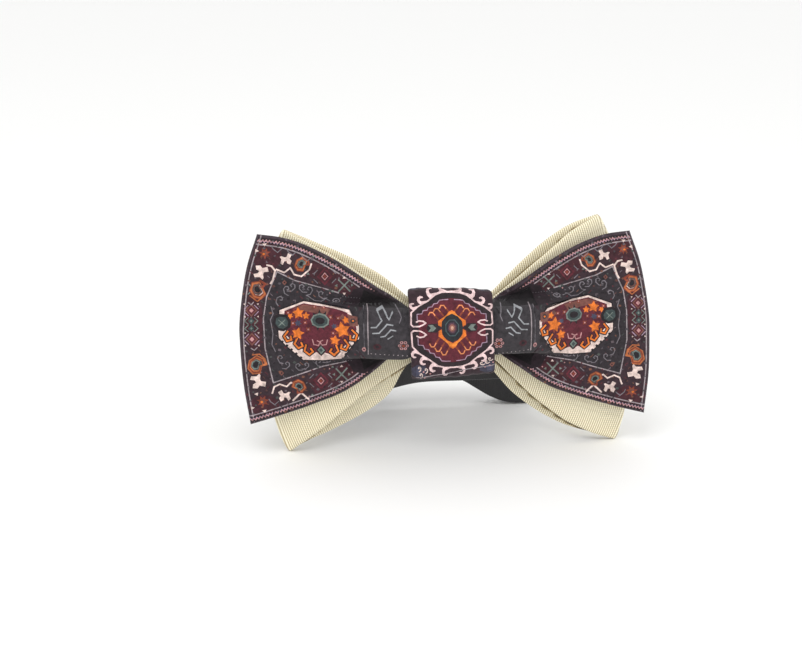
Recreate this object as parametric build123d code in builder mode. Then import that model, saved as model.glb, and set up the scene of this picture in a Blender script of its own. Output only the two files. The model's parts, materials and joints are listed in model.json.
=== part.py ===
from build123d import *
import os
from math import atan2, cos

# A pre-tied double bow tie that stands on the lower tips of its rear bow and on its folded neck strap.
# X runs along the bow, -Y is the front, +Z is up. Z = 0 is the surface that it stands on.

os.makedirs("parts", exist_ok=True)

# Driving dimensions, in millimetres
BOW_Z = 38.0             # height of the bows' waist
FRONT_TOP = 66.8         # upper corners of the front bow
FRONT_BOTTOM = 9.5       # lower corners of the front bow
FRONT_REACH = 60.0       # half length of the front bow at its bulged ends
FLAP_Y = -0.6            # front surface of the flat part of the front bow
PLY = 0.5                # thickness of one fabric ply
STIFFENER = 0.6          # thickness of the interlining
LAYER_GAP = 0.04         # room between two layers
SEAM_INSET = 1.3         # width of the seam channel inside the front bow's edge

REAR_REACH = 49.5        # half length of the rear bow
REAR_TOP = 69.0          # height of the rear bow's upper corners
REAR_FRONT_Y = 1.9       # front and back of the rear bow's loop
REAR_BACK_Y = 8.7
WAIST_HALF = 3.0         # half width of the bound waist

KNOT_HALF_WIDTH = 12.5   # half width of the knot band along X
KNOT_FRONT = -9.9
KNOT_BACK = 12.7
KNOT_BOTTOM = 25.5
KNOT_TOP = 52.5
KNOT_RADIUS = 4.5
BAND = 0.9               # thickness of the knot band

STRAP_THICK = 0.9
STRAP_HALF = 7.5         # half width of the neck strap
STRAP_KNOT_Y = 10.2      # where the strap passes through the knot
FOLD = 1.4               # centreline radius of the strap round the hook's bar
EYE_FOLD = 2.0           # centreline radius of the strap round the eye's bar
BAR_RADIUS = 0.8         # round bars of the hook, eye and slider
PLATE = 1.0              # thickness of the flat metal parts
RAIL = 8.3               # inner half height of the metal frames
RAIL_OUTER = 9.5         # outer half height of the metal frames


# Every piece is drawn about the plane of the front bow, and is saved about the middle of the whole base
BASE_CENTRE_Y = 18.775


def save(part, label):
    part = part.moved(Location((0, -BASE_CENTRE_Y, 0)))
    part.label = label
    export_step(part, f"parts/{label}.step")


# Front bow: three layers, each shifted back by the thickness of those before it.
# A station is (x, ridge half height, ridge depth).
RIDGE_STATIONS = [(0, 6.2, 5.6), (12.5, 7.0, 6.6), (22, 7.5, 4.8), (34, 8.0, 2.0), (62, 9.0, 0.3)]


def ridge_section(half_height, depth, start):
    """Front line of a layer in a YZ section, from below the bow to above it."""
    flap = FLAP_Y + start
    side = [
        (flap - depth * 1.12, 0),
        (flap - depth, half_height * 0.8),
        (flap, half_height * 1.3),
        (flap, 45),
    ]
    lower = [(y, BOW_Z - z) for y, z in reversed(side[1:])]
    return lower + [(y, BOW_Z + z) for y, z in side]


def front_outline(inset):
    """Butterfly outline of the front bow, drawn in by inset at its edges and cut square inside the knot."""
    waist_top = 44.6 - inset
    waist_bottom = 30.6 + inset
    top_corner = (54.5 - inset, FRONT_TOP - inset)
    bottom_corner = (57.8 - inset, FRONT_BOTTOM + inset)
    top_edge = [(22, 51.5 - inset), (31.5, 58 - inset), (43, 64.2 - inset)]
    bottom_edge = [(46, 12.6 + inset), (34, 17 + inset), (21, 25 + inset)]
    with BuildSketch(Plane.XZ) as outline:
        with BuildLine():
            Polyline((0, waist_bottom), (0, waist_top), (KNOT_HALF_WIDTH, waist_top))
            Spline((KNOT_HALF_WIDTH, waist_top), *top_edge, top_corner)
            ThreePointArc(top_corner, (FRONT_REACH - inset, BOW_Z), bottom_corner)
            Spline(bottom_corner, *bottom_edge, (KNOT_HALF_WIDTH, waist_bottom))
            Line((KNOT_HALF_WIDTH, waist_bottom), (0, waist_bottom))
        make_face()
        mirror(about=Plane.YZ)
    return outline.sketch


def front_layer(label, start, thickness, inset=0.0):
    outline = front_outline(inset)
    with BuildPart() as layer:
        for x, half_height, depth in RIDGE_STATIONS:
            front = ridge_section(half_height, depth, start)
            back = ridge_section(half_height, depth, start + thickness)
            with BuildSketch(Plane.YZ.offset(x)):
                with BuildLine():
                    Polyline(*front, *reversed(back), close=True)
                make_face()
        loft(ruled=True)
        mirror(about=Plane.YZ)
        extrude(outline, amount=20, both=True, mode=Mode.INTERSECT)
    save(layer.part, label)


STIFFENER_START = PLY + LAYER_GAP
BACK_START = STIFFENER_START + STIFFENER + LAYER_GAP
front_layer("front_bow_face", 0, PLY)
front_layer("front_bow_interlining", STIFFENER_START, STIFFENER, SEAM_INSET)
front_layer("front_bow_back", BACK_START, PLY)

# Seam thread: stitches in the channel between face and back, along the flat parts of the outer ends
STITCH_LENGTH = 1.4
STITCH_DIAMETER = 0.3
STITCHES = 9
half_seam = SEAM_INSET / 2
seam_arc = ThreePointArc(
    (54.5 - half_seam, FRONT_TOP - half_seam),
    (FRONT_REACH - half_seam, BOW_Z),
    (57.8 - half_seam, FRONT_BOTTOM + half_seam),
)
upper_stitches = [seam_arc @ (0.03 + 0.26 * i / (STITCHES - 1)) for i in range(STITCHES)]
lower_stitches = [seam_arc @ (0.71 + 0.26 * i / (STITCHES - 1)) for i in range(STITCHES)]
with BuildPart() as front_bow_seam_thread:
    with BuildSketch(Plane.XZ.offset(-(FLAP_Y + STIFFENER_START + STIFFENER / 2))):
        for point in upper_stitches + lower_stitches:
            with Locations((point.X, point.Y), (-point.X, point.Y)):
                Rectangle(STITCH_DIAMETER, STITCH_LENGTH)
    extrude(amount=STITCH_DIAMETER / 2, both=True)
save(front_bow_seam_thread.part, "front_bow_seam_thread")

# Pleat tack: short threads across the hollow behind the ridge, beside the waist
PLEAT_TACK_X = 9.0
with BuildPart() as pleat_tack_stitches:
    with BuildSketch(Plane.XZ.offset(-1.35)):
        for side in (-1, 1):
            with Locations((side * PLEAT_TACK_X, BOW_Z)):
                with GridLocations(1.0, 1.0, 3, 1):
                    Rectangle(0.35, 9.0)
    extrude(amount=0.15, both=True)
save(pleat_tack_stitches.part, "pleat_tack_stitches")


# Rear bow: a flat loop seen from above, in three nested plies, cut to the bow's outline
def loop_face(inset):
    with BuildSketch() as face:
        with Locations((0, (REAR_FRONT_Y + REAR_BACK_Y) / 2)):
            RectangleRounded(
                2 * (REAR_REACH - inset),
                REAR_BACK_Y - REAR_FRONT_Y - 2 * inset,
                (REAR_BACK_Y - REAR_FRONT_Y) / 2 - inset - 0.1,
            )
    return face.sketch


def rear_outline():
    with BuildSketch(Plane.XZ) as outline:
        with BuildLine():
            Polyline((0, 30.5), (0, 46.0), (WAIST_HALF, 46.0), (KNOT_HALF_WIDTH, 48.8))
            Spline((KNOT_HALF_WIDTH, 48.8), (22.4, 54.6), (33, 60.8), (52, REAR_TOP))
            Line((52, REAR_TOP), (52, 0))
            Line((52, 0), (REAR_REACH - 2.5, 0))
            Polyline((REAR_REACH - 2.5, 0), (19.2, 15.6), (14.8, 22.0), (KNOT_HALF_WIDTH, 27.6))
            Polyline((KNOT_HALF_WIDTH, 27.6), (WAIST_HALF, 30.5), (0, 30.5))
        make_face()
        mirror(about=Plane.YZ)
    return outline.sketch


def rear_ply(label, start, thickness):
    outer = loop_face(start)
    inner = loop_face(start + thickness)
    outline = rear_outline()
    with BuildPart() as ply:
        extrude(outer, amount=REAR_TOP + 1)
        extrude(inner, amount=REAR_TOP + 1, mode=Mode.SUBTRACT)
        extrude(outline, amount=20, both=True, mode=Mode.INTERSECT)
    save(ply.part, label)


REAR_STIFFENER = 0.4
rear_ply("rear_bow_outer_ply", 0, PLY)
rear_ply("rear_bow_interlining", PLY + LAYER_GAP, REAR_STIFFENER)
rear_ply("rear_bow_inner_ply", PLY + REAR_STIFFENER + 2 * LAYER_GAP, PLY)

# Stitches that close the loop, on the rear leaf beside the waist
with BuildPart() as rear_bow_join_stitches:
    with BuildSketch(Plane.XZ.offset(-REAR_BACK_Y - 0.2)):
        with Locations((6.5, BOW_Z)):
            with GridLocations(1.0, 2.4, 1, 6):
                Rectangle(0.35, 1.5)
    extrude(amount=0.2, both=True)
save(rear_bow_join_stitches.part, "rear_bow_join_stitches")


def ring_face(front, back, bottom, top, radius):
    """Rounded rectangle in a YZ section."""
    with BuildSketch(Plane.YZ) as face:
        with Locations(((front + back) / 2, (bottom + top) / 2)):
            RectangleRounded(back - front, top - bottom, radius)
    return face.sketch


# Hand stitches close the knot's back, beside its flat middle. Each is sunk in a bed in the cloth.
HAND_STITCH_LENGTH = 2.0
HAND_STITCH_WIDTH = 0.4
HAND_STITCH_X = 7.5
HAND_STITCH_PITCH = 2.6
HAND_STITCHES = 7
BED_DEPTH = 0.3
BED_CLEARANCE = 0.02


def hand_stitches(depth, clearance):
    """Slanted stitches as flat shapes, at that depth under the knot's back."""
    with BuildSketch(Plane.XZ.offset(depth - KNOT_BACK)) as marks:
        with Locations((HAND_STITCH_X, BOW_Z + 1)):
            with GridLocations(1.0, HAND_STITCH_PITCH, 1, HAND_STITCHES):
                Rectangle(HAND_STITCH_LENGTH + clearance, HAND_STITCH_WIDTH + clearance, rotation=25)
    return marks.sketch


def ring(label, half_width, inset, thickness):
    outer = ring_face(KNOT_FRONT + inset, KNOT_BACK - inset, KNOT_BOTTOM + inset, KNOT_TOP - inset,
                      KNOT_RADIUS - inset)
    inset = inset + thickness
    inner = ring_face(KNOT_FRONT + inset, KNOT_BACK - inset, KNOT_BOTTOM + inset, KNOT_TOP - inset,
                      KNOT_RADIUS - inset)
    with BuildPart() as band:
        extrude(outer, amount=half_width, both=True)
        extrude(inner, amount=half_width, both=True, mode=Mode.SUBTRACT)
        if label == "knot_band":
            extrude(hand_stitches(0, BED_CLEARANCE), amount=BED_DEPTH, mode=Mode.SUBTRACT)
    save(band.part, label)


LINING = 0.5
LINING_SIDE_INSET = 0.8
ring("knot_band", KNOT_HALF_WIDTH, 0, BAND)
ring("knot_lining", KNOT_HALF_WIDTH - LINING_SIDE_INSET, BAND + LAYER_GAP, LINING)

# Binding thread: turns round both bows at the waist
THREAD = 0.5
TURNS = 6
TURN_PITCH = 0.8
BIND_FRONT = -7.8
BIND_BACK = 9.4
BIND_BOTTOM = 29.6
BIND_TOP = 46.9
thread_outer = ring_face(BIND_FRONT, BIND_BACK, BIND_BOTTOM, BIND_TOP, 0.9)
thread_inner = ring_face(BIND_FRONT + THREAD, BIND_BACK - THREAD, BIND_BOTTOM + THREAD, BIND_TOP - THREAD, 0.4)
with BuildPart() as centre_binding_thread:
    for turn in range(TURNS):
        x = (turn - (TURNS - 1) / 2) * TURN_PITCH
        extrude(thread_outer.moved(Location((x, 0, 0))), amount=THREAD / 2, both=True)
    extrude(thread_inner, amount=WAIST_HALF, both=True, mode=Mode.SUBTRACT)
save(centre_binding_thread.part, "centre_binding_thread")

with BuildPart() as knot_stitches:
    extrude(hand_stitches(BED_CLEARANCE, 0), amount=BED_DEPTH - BED_CLEARANCE)
save(knot_stitches.part, "knot_stitches")


# Neck strap: a flat band on edge. Its runs lie along X, its turns are half rings.
# The second run dips at its left end to pass under the hook's side.
# The last two runs are level behind the knot and drop, at their right ends, to the fold just above the table.
LEFT_TURN_X = -38.0
HOOK_FOLD_X = -8.0
HOOK_Y = 22.0
SHORT_SIDE_Z = 32.5
KNOT_PASS_Z = 35.5
RIGHT_TURN_X = 42.0
RIGHT_TURN_Z = 24.0
DIP_X = -8.0
DIP_Z = 23.6
SECOND_RUN_Y = 15.2
BACK_TURN_X = -36.0
BACK_RUN_Y = 38.0
FLOOR_FOLD_X = 30.0
LAST_RUN_Y = 43.0
EYE_FOLD_X = -36.0
BACK_RUN_Z = 16.6
DROP_X = 12.0
FLOOR_FOLD_Z = 8.4

# A run is (x start, z start, x end, z end, y), a turn is (x, y low, y high, z, side that it bulges to)
RUNS = [
    (HOOK_FOLD_X - 8.0, SHORT_SIDE_Z, HOOK_FOLD_X, SHORT_SIDE_Z, HOOK_Y + 2 * FOLD),
    (HOOK_FOLD_X, SHORT_SIDE_Z, LEFT_TURN_X, SHORT_SIDE_Z, HOOK_Y),
    (LEFT_TURN_X, SHORT_SIDE_Z, -KNOT_HALF_WIDTH, KNOT_PASS_Z, STRAP_KNOT_Y),
    (-KNOT_HALF_WIDTH, KNOT_PASS_Z, KNOT_HALF_WIDTH, KNOT_PASS_Z, STRAP_KNOT_Y),
    (KNOT_HALF_WIDTH, KNOT_PASS_Z, RIGHT_TURN_X, RIGHT_TURN_Z, STRAP_KNOT_Y),
    (RIGHT_TURN_X, RIGHT_TURN_Z, DIP_X, DIP_Z, SECOND_RUN_Y),
    (DIP_X, DIP_Z, BACK_TURN_X, BACK_RUN_Z, SECOND_RUN_Y),
    (BACK_TURN_X, BACK_RUN_Z, DROP_X, BACK_RUN_Z, BACK_RUN_Y),
    (DROP_X, BACK_RUN_Z, FLOOR_FOLD_X, FLOOR_FOLD_Z, BACK_RUN_Y),
    (FLOOR_FOLD_X, FLOOR_FOLD_Z, DROP_X, BACK_RUN_Z, LAST_RUN_Y),
    (DROP_X, BACK_RUN_Z, EYE_FOLD_X, BACK_RUN_Z, LAST_RUN_Y),
]
TURNS_OF_STRAP = [
    (HOOK_FOLD_X, HOOK_Y, HOOK_Y + 2 * FOLD, SHORT_SIDE_Z, 1),
    (LEFT_TURN_X, STRAP_KNOT_Y, HOOK_Y, SHORT_SIDE_Z, -1),
    (RIGHT_TURN_X, STRAP_KNOT_Y, SECOND_RUN_Y, RIGHT_TURN_Z, 1),
    (BACK_TURN_X, SECOND_RUN_Y, BACK_RUN_Y, BACK_RUN_Z, -1),
    (FLOOR_FOLD_X, BACK_RUN_Y, LAST_RUN_Y, FLOOR_FOLD_Z, 1),
]

# The adjuster lies along the last run: its x runs along the strap towards the eye, its z across the strap
ALONG = Vector(-1, 0, 0)
ACROSS = Vector(0, 0, 1)
eye_fold_start = Vector(EYE_FOLD_X, LAST_RUN_Y, BACK_RUN_Z)


def run_profile(x_start, z_start, x_end, z_end):
    """Parallelogram with upright ends that keeps the strap's width square to its run."""
    half = STRAP_HALF / abs(cos(atan2(z_end - z_start, x_end - x_start)))
    corners = [(x_start, z_start - half), (x_end, z_end - half), (x_end, z_end + half), (x_start, z_start + half)]
    Polygon(*corners, align=None)


def half_ring(radius, side):
    """Half ring of strap thickness about the origin, on the side where local x times side is positive."""
    Circle(radius + STRAP_THICK / 2)
    Circle(radius - STRAP_THICK / 2, mode=Mode.SUBTRACT)
    with Locations((side * (radius + STRAP_THICK), 0)):
        Rectangle(2 * (radius + STRAP_THICK), 3 * (radius + STRAP_THICK), mode=Mode.INTERSECT)


with BuildPart() as neck_strap:
    for x_start, z_start, x_end, z_end, y in RUNS:
        with BuildSketch(Plane.XZ.offset(-y)):
            run_profile(x_start, z_start, x_end, z_end)
        extrude(amount=STRAP_THICK / 2, both=True)
    for x, y_low, y_high, z, side in TURNS_OF_STRAP:
        centre = Vector(x, (y_low + y_high) / 2, z)
        with BuildSketch(Plane(origin=centre)):
            half_ring((y_high - y_low) / 2, side)
        extrude(amount=STRAP_HALF, both=True)
    with BuildSketch(Plane(origin=eye_fold_start + Vector(0, EYE_FOLD, 0), x_dir=ALONG, z_dir=ACROSS)):
        half_ring(EYE_FOLD, 1)
    extrude(amount=STRAP_HALF, both=True)
save(neck_strap.part, "neck_strap")

# Slider frame of reference: its bar's centre, at rest
SLIDER_FROM_EYE = 24.0
SLIDER_BAR_Y = LAST_RUN_Y + STRAP_THICK / 2 + 0.3 + STRAP_THICK + BAR_RADIUS + 0.15
slider_origin = eye_fold_start - ALONG * SLIDER_FROM_EYE
RETURN_Y = LAST_RUN_Y + 2 * EYE_FOLD
LOOP = BAR_RADIUS + 0.15 + STRAP_THICK / 2
TAIL_LENGTH = 7.0
slider_bar_origin = Vector(slider_origin.X, SLIDER_BAR_Y, slider_origin.Z)


def strap_plane(origin):
    """Plane square to the strap's width, x towards the eye."""
    return Plane(origin=origin, x_dir=ALONG, z_dir=ACROSS)


# Return ply: from the eye's fold back to the slider, round its bar and a short sewn tail
with BuildPart() as strap_return_ply:
    with BuildSketch(Plane(origin=(EYE_FOLD_X, RETURN_Y, BACK_RUN_Z), x_dir=ALONG, z_dir=(0, 1, 0))):
        with Locations((-SLIDER_FROM_EYE / 2, 0)):
            Rectangle(SLIDER_FROM_EYE, 2 * STRAP_HALF)
    extrude(amount=STRAP_THICK / 2, both=True)
    with BuildSketch(strap_plane(slider_bar_origin)):
        half_ring(LOOP, -1)
        with Locations((TAIL_LENGTH / 2, LOOP)):
            Rectangle(TAIL_LENGTH, STRAP_THICK)
    extrude(amount=STRAP_HALF, both=True)
save(strap_return_ply.part, "strap_return_ply")


def tack(origin, along, gap_start, gap_end, label):
    """Two rows of stitches that bridge the gap between two plies."""
    with BuildPart() as stitches:
        with BuildSketch(Plane(origin=Vector(origin.X, gap_start, origin.Z), x_dir=along, z_dir=(0, 1, 0))):
            with Locations((TAIL_LENGTH - 2.0, 0)):
                with GridLocations(1.6, 1.6, 2, 8):
                    Rectangle(0.4, 0.9)
        extrude(amount=gap_end - gap_start)
    save(stitches.part, label)


tack(slider_bar_origin, ALONG, SLIDER_BAR_Y - LOOP + STRAP_THICK / 2, RETURN_Y - STRAP_THICK / 2,
     "slider_end_stitches")
tack(Vector(HOOK_FOLD_X, 0, SHORT_SIDE_Z), Vector(-1, 0, 0), HOOK_Y + STRAP_THICK / 2,
     HOOK_Y + 2 * FOLD - STRAP_THICK / 2, "hook_end_stitches")

# Slider: a flat frame in front of the strap, and two lugs that hold the bar behind it
SLIDER_HALF = 5.0
SLIDER_FACE_Y = LAST_RUN_Y - STRAP_THICK / 2 - 0.3 - PLATE
SLIDER_RIM = 1.5
with BuildPart() as slider:
    with BuildSketch(Plane(origin=Vector(slider_origin.X, SLIDER_FACE_Y, slider_origin.Z), x_dir=ALONG,
                           z_dir=(0, 1, 0))):
        RectangleRounded(2 * SLIDER_HALF, 2 * RAIL_OUTER, 1.2)
        Rectangle(2 * (SLIDER_HALF - SLIDER_RIM), 2 * RAIL, mode=Mode.SUBTRACT)
    extrude(amount=PLATE)
    for side in (-1, 1):
        with BuildSketch(strap_plane(slider_bar_origin + ACROSS * (side * (RAIL + RAIL_OUTER) / 2))):
            with Locations((0, (SLIDER_BAR_Y - SLIDER_FACE_Y - BAR_RADIUS) / 2)):
                Rectangle(2.6, SLIDER_BAR_Y - SLIDER_FACE_Y + BAR_RADIUS)
        extrude(amount=(RAIL_OUTER - RAIL) / 2, both=True)
    with BuildSketch(strap_plane(slider_bar_origin)):
        Circle(BAR_RADIUS)
    extrude(amount=RAIL + 0.2, both=True)
save(slider.part, "slider")

# Hook: a round bar, two arms, a cross piece and a tongue that curls back
ARM_REACH = 4.6
TONGUE_HALF = 3.0
TONGUE_END = 11.0
CURL = 1.5
hook_origin = Vector(HOOK_FOLD_X, HOOK_Y + FOLD, SHORT_SIDE_Z)
hook_face = Plane(origin=hook_origin - Vector(0, PLATE / 2, 0), x_dir=(1, 0, 0), z_dir=(0, 1, 0))
with BuildPart() as hook:
    with BuildSketch(hook_face):
        with Locations((ARM_REACH / 2, 0)):
            Rectangle(ARM_REACH, 2 * RAIL_OUTER)
        with Locations(((ARM_REACH - 1.9) / 2, 0)):
            Rectangle(ARM_REACH - 1.9, 2 * RAIL, mode=Mode.SUBTRACT)
        with Locations(((ARM_REACH + TONGUE_END) / 2, 0)):
            Rectangle(TONGUE_END - ARM_REACH, 2 * TONGUE_HALF)
    extrude(amount=PLATE)
    with BuildSketch(Plane(origin=hook_origin)):
        Circle(BAR_RADIUS)
    extrude(amount=RAIL_OUTER, both=True)
    with BuildSketch(Plane(origin=hook_origin + Vector(TONGUE_END, CURL, 0))):
        Circle(CURL + PLATE / 2)
        Circle(CURL - PLATE / 2, mode=Mode.SUBTRACT)
        with Locations((CURL + 1, 0)):
            Rectangle(2 * (CURL + 1), 6 * CURL, mode=Mode.INTERSECT)
        with Locations((-1.5, CURL)):
            Rectangle(3.0, PLATE)
    extrude(amount=TONGUE_HALF, both=True)
save(hook.part, "hook")

# Eye: a round bar and a flat ring whose window takes the hook
EYE_LENGTH = 10.5
EYE_BAR = 1.0
EYE_WINDOW = 4.6
eye_origin = Vector(EYE_FOLD_X, LAST_RUN_Y + EYE_FOLD, BACK_RUN_Z)
with BuildPart() as eye:
    with BuildSketch(Plane(origin=eye_origin - Vector(0, PLATE / 2, 0), x_dir=ALONG, z_dir=(0, 1, 0))):
        with Locations((EYE_LENGTH / 2, 0)):
            Rectangle(EYE_LENGTH, 2 * RAIL_OUTER)
        with Locations((1.7, 0)):
            Rectangle(3.4, 2 * RAIL, mode=Mode.SUBTRACT)
        with Locations((4.7 + EYE_WINDOW / 2, 0)):
            Rectangle(EYE_WINDOW, 2 * RAIL - 2.0, mode=Mode.SUBTRACT)
    extrude(amount=PLATE)
    with BuildSketch(strap_plane(eye_origin)):
        Circle(EYE_BAR)
    extrude(amount=RAIL_OUTER, both=True)
save(eye.part, "eye")
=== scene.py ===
import json
import math

import bmesh
import bpy
import numpy as np
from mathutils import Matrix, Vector
from mathutils.geometry import delaunay_2d_cdt


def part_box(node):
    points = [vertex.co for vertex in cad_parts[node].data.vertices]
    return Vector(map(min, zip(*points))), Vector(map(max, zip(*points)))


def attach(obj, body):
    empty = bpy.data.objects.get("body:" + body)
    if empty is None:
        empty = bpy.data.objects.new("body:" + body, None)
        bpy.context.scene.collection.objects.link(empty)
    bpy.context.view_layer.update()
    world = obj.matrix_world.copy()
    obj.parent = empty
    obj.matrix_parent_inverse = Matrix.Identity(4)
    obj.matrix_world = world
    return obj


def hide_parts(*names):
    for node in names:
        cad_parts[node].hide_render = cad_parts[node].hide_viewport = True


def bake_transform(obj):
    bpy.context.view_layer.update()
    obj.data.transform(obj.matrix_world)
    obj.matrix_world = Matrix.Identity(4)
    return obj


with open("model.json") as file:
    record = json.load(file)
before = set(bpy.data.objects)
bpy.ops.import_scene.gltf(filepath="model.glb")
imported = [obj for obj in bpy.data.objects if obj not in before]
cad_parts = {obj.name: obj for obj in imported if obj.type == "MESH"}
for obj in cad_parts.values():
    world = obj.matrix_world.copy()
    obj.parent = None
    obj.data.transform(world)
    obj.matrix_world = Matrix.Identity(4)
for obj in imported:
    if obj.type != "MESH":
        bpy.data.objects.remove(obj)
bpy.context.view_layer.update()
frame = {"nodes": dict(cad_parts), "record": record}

# Lengths are in millimetres until place() turns them into metres in the row frame.
# The design frame has x along the bow, y towards the back from the front bow's plane, z up from the table.
MM = 0.001
KNOT_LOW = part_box("knot_band")[0]
KNOT_FRONT = -9.9
PLANE_Y = KNOT_LOW.y - KNOT_FRONT * MM
WAIST_Z = 38.3
RIDGE_Z = 37.6
BODY = "bow"


def place(points):
    """Design points in millimetres, as metres in the row frame."""
    return np.asarray(points, float) * MM + np.array([0.0, PLANE_Y, 0.0])


def smoothstep(low, high, value):
    t = np.clip((np.asarray(value, float) - low) / (high - low), 0, 1)
    return t * t * (3 - 2 * t)


def unit(rows):
    """Each row scaled to length one."""
    return rows / np.linalg.norm(rows, axis=1)[:, None]


def direction(line):
    """Unit direction of a polyline at each of its points."""
    return unit(np.gradient(line, axis=0))


def left_of(along):
    """Flat unit vectors to the left of the given flat directions."""
    return np.stack([-along[:, 1], along[:, 0]], 1)


def beside(line, offset):
    """The flat line, moved to its right by offset (one distance, or one for each point)."""
    return line - left_of(direction(line)) * offset


def run_along(line):
    """Distance from the start of a polyline to each of its points."""
    return np.concatenate([[0], np.cumsum(np.linalg.norm(np.diff(line, axis=0), axis=1))])


def at_runs(runs, run, line):
    """Points of a flat line at the given runs."""
    return np.stack([np.interp(runs, run, line[:, k]) for k in range(2)], 1)


# Rows of points on a rounded edge, as shares of its rounding
EDGE_SHARES = (0.1, 0.3, 0.6, 1.0)


def round_off(gap):
    """Share of the full half thickness where a point is gap roundings away from the edge."""
    return np.sqrt(np.maximum(0, 1 - (1 - np.clip(gap, 0, 1)) ** 2))


def curve_through(points, step):
    """Points about step apart on a Catmull-Rom curve through the given ones."""
    p = np.array(points, float)
    padded = np.vstack([2 * p[0] - p[1], p, 2 * p[-1] - p[-2]])
    out = []
    for i in range(1, len(padded) - 2):
        a, b, c, d = padded[i - 1:i + 3]
        count = max(2, int(np.linalg.norm(c - b) / step))
        for k in range(count):
            t = k / count
            out.append(0.5 * (2 * b + (c - a) * t + (2 * a - 5 * b + 4 * c - d) * t * t
                              + (3 * b - a - 3 * c + d) * t ** 3))
    out.append(p[-1])
    return np.array(out)


# ---------------------------------------------------------------- colours and materials

def rgb(red, green, blue):
    """A colour given in sRGB from 0 to 255, in linear light."""
    parts = [c / 255 for c in (red, green, blue)]
    return tuple(c / 12.92 if c <= 0.04045 else ((c + 0.055) / 1.055) ** 2.4 for c in parts) + (1.0,)


GROUND = rgb(54, 37, 44)
# painted shade for the deepest folds of the front bow
DEEP_FOLD_SHADE = rgb(20, 14, 18)
MAROON = rgb(92, 34, 46)
WINE = rgb(66, 32, 40)
FIELD = rgb(47, 41, 46)
SLATE = rgb(55, 51, 55)
INK = rgb(34, 28, 33)
LINE = rgb(160, 148, 152)
GREY = rgb(118, 112, 118)
PALE = rgb(226, 203, 195)
ORANGE = rgb(224, 118, 44)
RUST = rgb(132, 62, 44)
EMBER = rgb(178, 102, 60)
PIPING = rgb(66, 54, 62)
BROWN = rgb(118, 74, 66)
TEAL = rgb(62, 74, 74)
SAGE = rgb(116, 126, 120)
BLUE = rgb(72, 72, 92)
LILAC = rgb(170, 142, 162)
PINK = rgb(190, 140, 140)
BACKING = rgb(40, 30, 36)


class Look:
    """A material that is being made, with short ways to add nodes to it."""

    def __init__(self, name):
        self.material = bpy.data.materials.new(name)
        self.material.use_nodes = True
        self.tree = self.material.node_tree
        self.shader = self.tree.nodes["Principled BSDF"]

    def feed(self, node, inputs):
        """Each input is given another node's output or a constant."""
        for key, value in inputs.items():
            if isinstance(value, bpy.types.NodeSocket):
                self.tree.links.new(value, node.inputs[key])
            else:
                node.inputs[key].default_value = value

    def node(self, kind, inputs, **settings):
        node = self.tree.nodes.new(kind)
        for key, value in settings.items():
            setattr(node, key, value)
        self.feed(node, inputs)
        return node

    def attribute(self, name, output):
        return self.node("ShaderNodeAttribute", {}, attribute_name=name).outputs[output]

    def weave(self, pitch, *directions):
        """Height of a weave: two sets of threads, each along its own direction in object space."""
        position = self.node("ShaderNodeNewGeometry", {}).outputs["Position"]
        waves = []
        for threads in directions:
            turns = [c * 2 * math.pi / (pitch * MM) for c in threads]
            phase = self.node("ShaderNodeVectorMath", {0: position, 1: turns}, operation="DOT_PRODUCT")
            waves.append(self.node("ShaderNodeMath", {0: phase.outputs["Value"]}, operation="SINE"))
        product = {i: wave.outputs[0] for i, wave in enumerate(waves)}
        return self.node("ShaderNodeMath", product, operation="MULTIPLY").outputs[0]

    def noise(self, scale, detail=3.0):
        inputs = {"Vector": self.node("ShaderNodeTexCoord", {}).outputs["Object"],
                  "Scale": scale, "Detail": detail, "Roughness": 0.6}
        return self.node("ShaderNodeTexNoise", inputs).outputs["Fac"]

    def remap(self, value, low, high, from_low=0.0, from_high=1.0):
        inputs = {"Value": value, "From Min": from_low, "From Max": from_high, "To Min": low, "To Max": high}
        return self.node("ShaderNodeMapRange", inputs).outputs["Result"]

    def mix(self, factor, first, second, **settings):
        """A mix of two colours, which are the node's inputs 6 and 7."""
        inputs = {"Factor": factor, 6: first, 7: second}
        return self.node("ShaderNodeMix", inputs, data_type="RGBA", **settings).outputs[2]

    def shade(self, colour, value, *ranges):
        """colour, made darker or lighter by value once that is remapped."""
        return self.mix(1.0, colour, self.remap(value, *ranges), blend_type="MULTIPLY")

    def finish(self, tone, height, strength, depth, inputs):
        """Give the shader its colour, its bumps and its other inputs."""
        bump = self.node("ShaderNodeBump", {"Height": height, "Strength": strength, "Distance": depth * MM})
        self.feed(self.shader, {"Base Color": tone, "Normal": bump.outputs["Normal"], **inputs})
        return self.material


def print_material(name):
    """Printed twill: the pattern is the mesh's own colour attribute, the weave and fuzz are nodes."""
    look = Look(name)
    weave = look.weave(0.42, (0.8, 0.3, 0.6), (-0.6, 0.3, 0.8))
    tone = look.shade(look.attribute("print", "Color"), weave, 0.80, 1.16, -1, 1)
    tone = look.shade(tone, look.noise(2400.0, 2.0), 0.68, 1.22)
    tone = look.shade(tone, look.noise(700.0, 2.0), 0.55, 1.4, 0.25, 0.75)
    tone = look.shade(tone, look.noise(90.0), 0.86, 1.14)
    return look.finish(tone, weave, 0.35, 0.06, {"Roughness": 0.78, "Sheen Weight": 0.12,
                                                 "Sheen Roughness": 0.5, "Specular IOR Level": 0.28})


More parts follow.
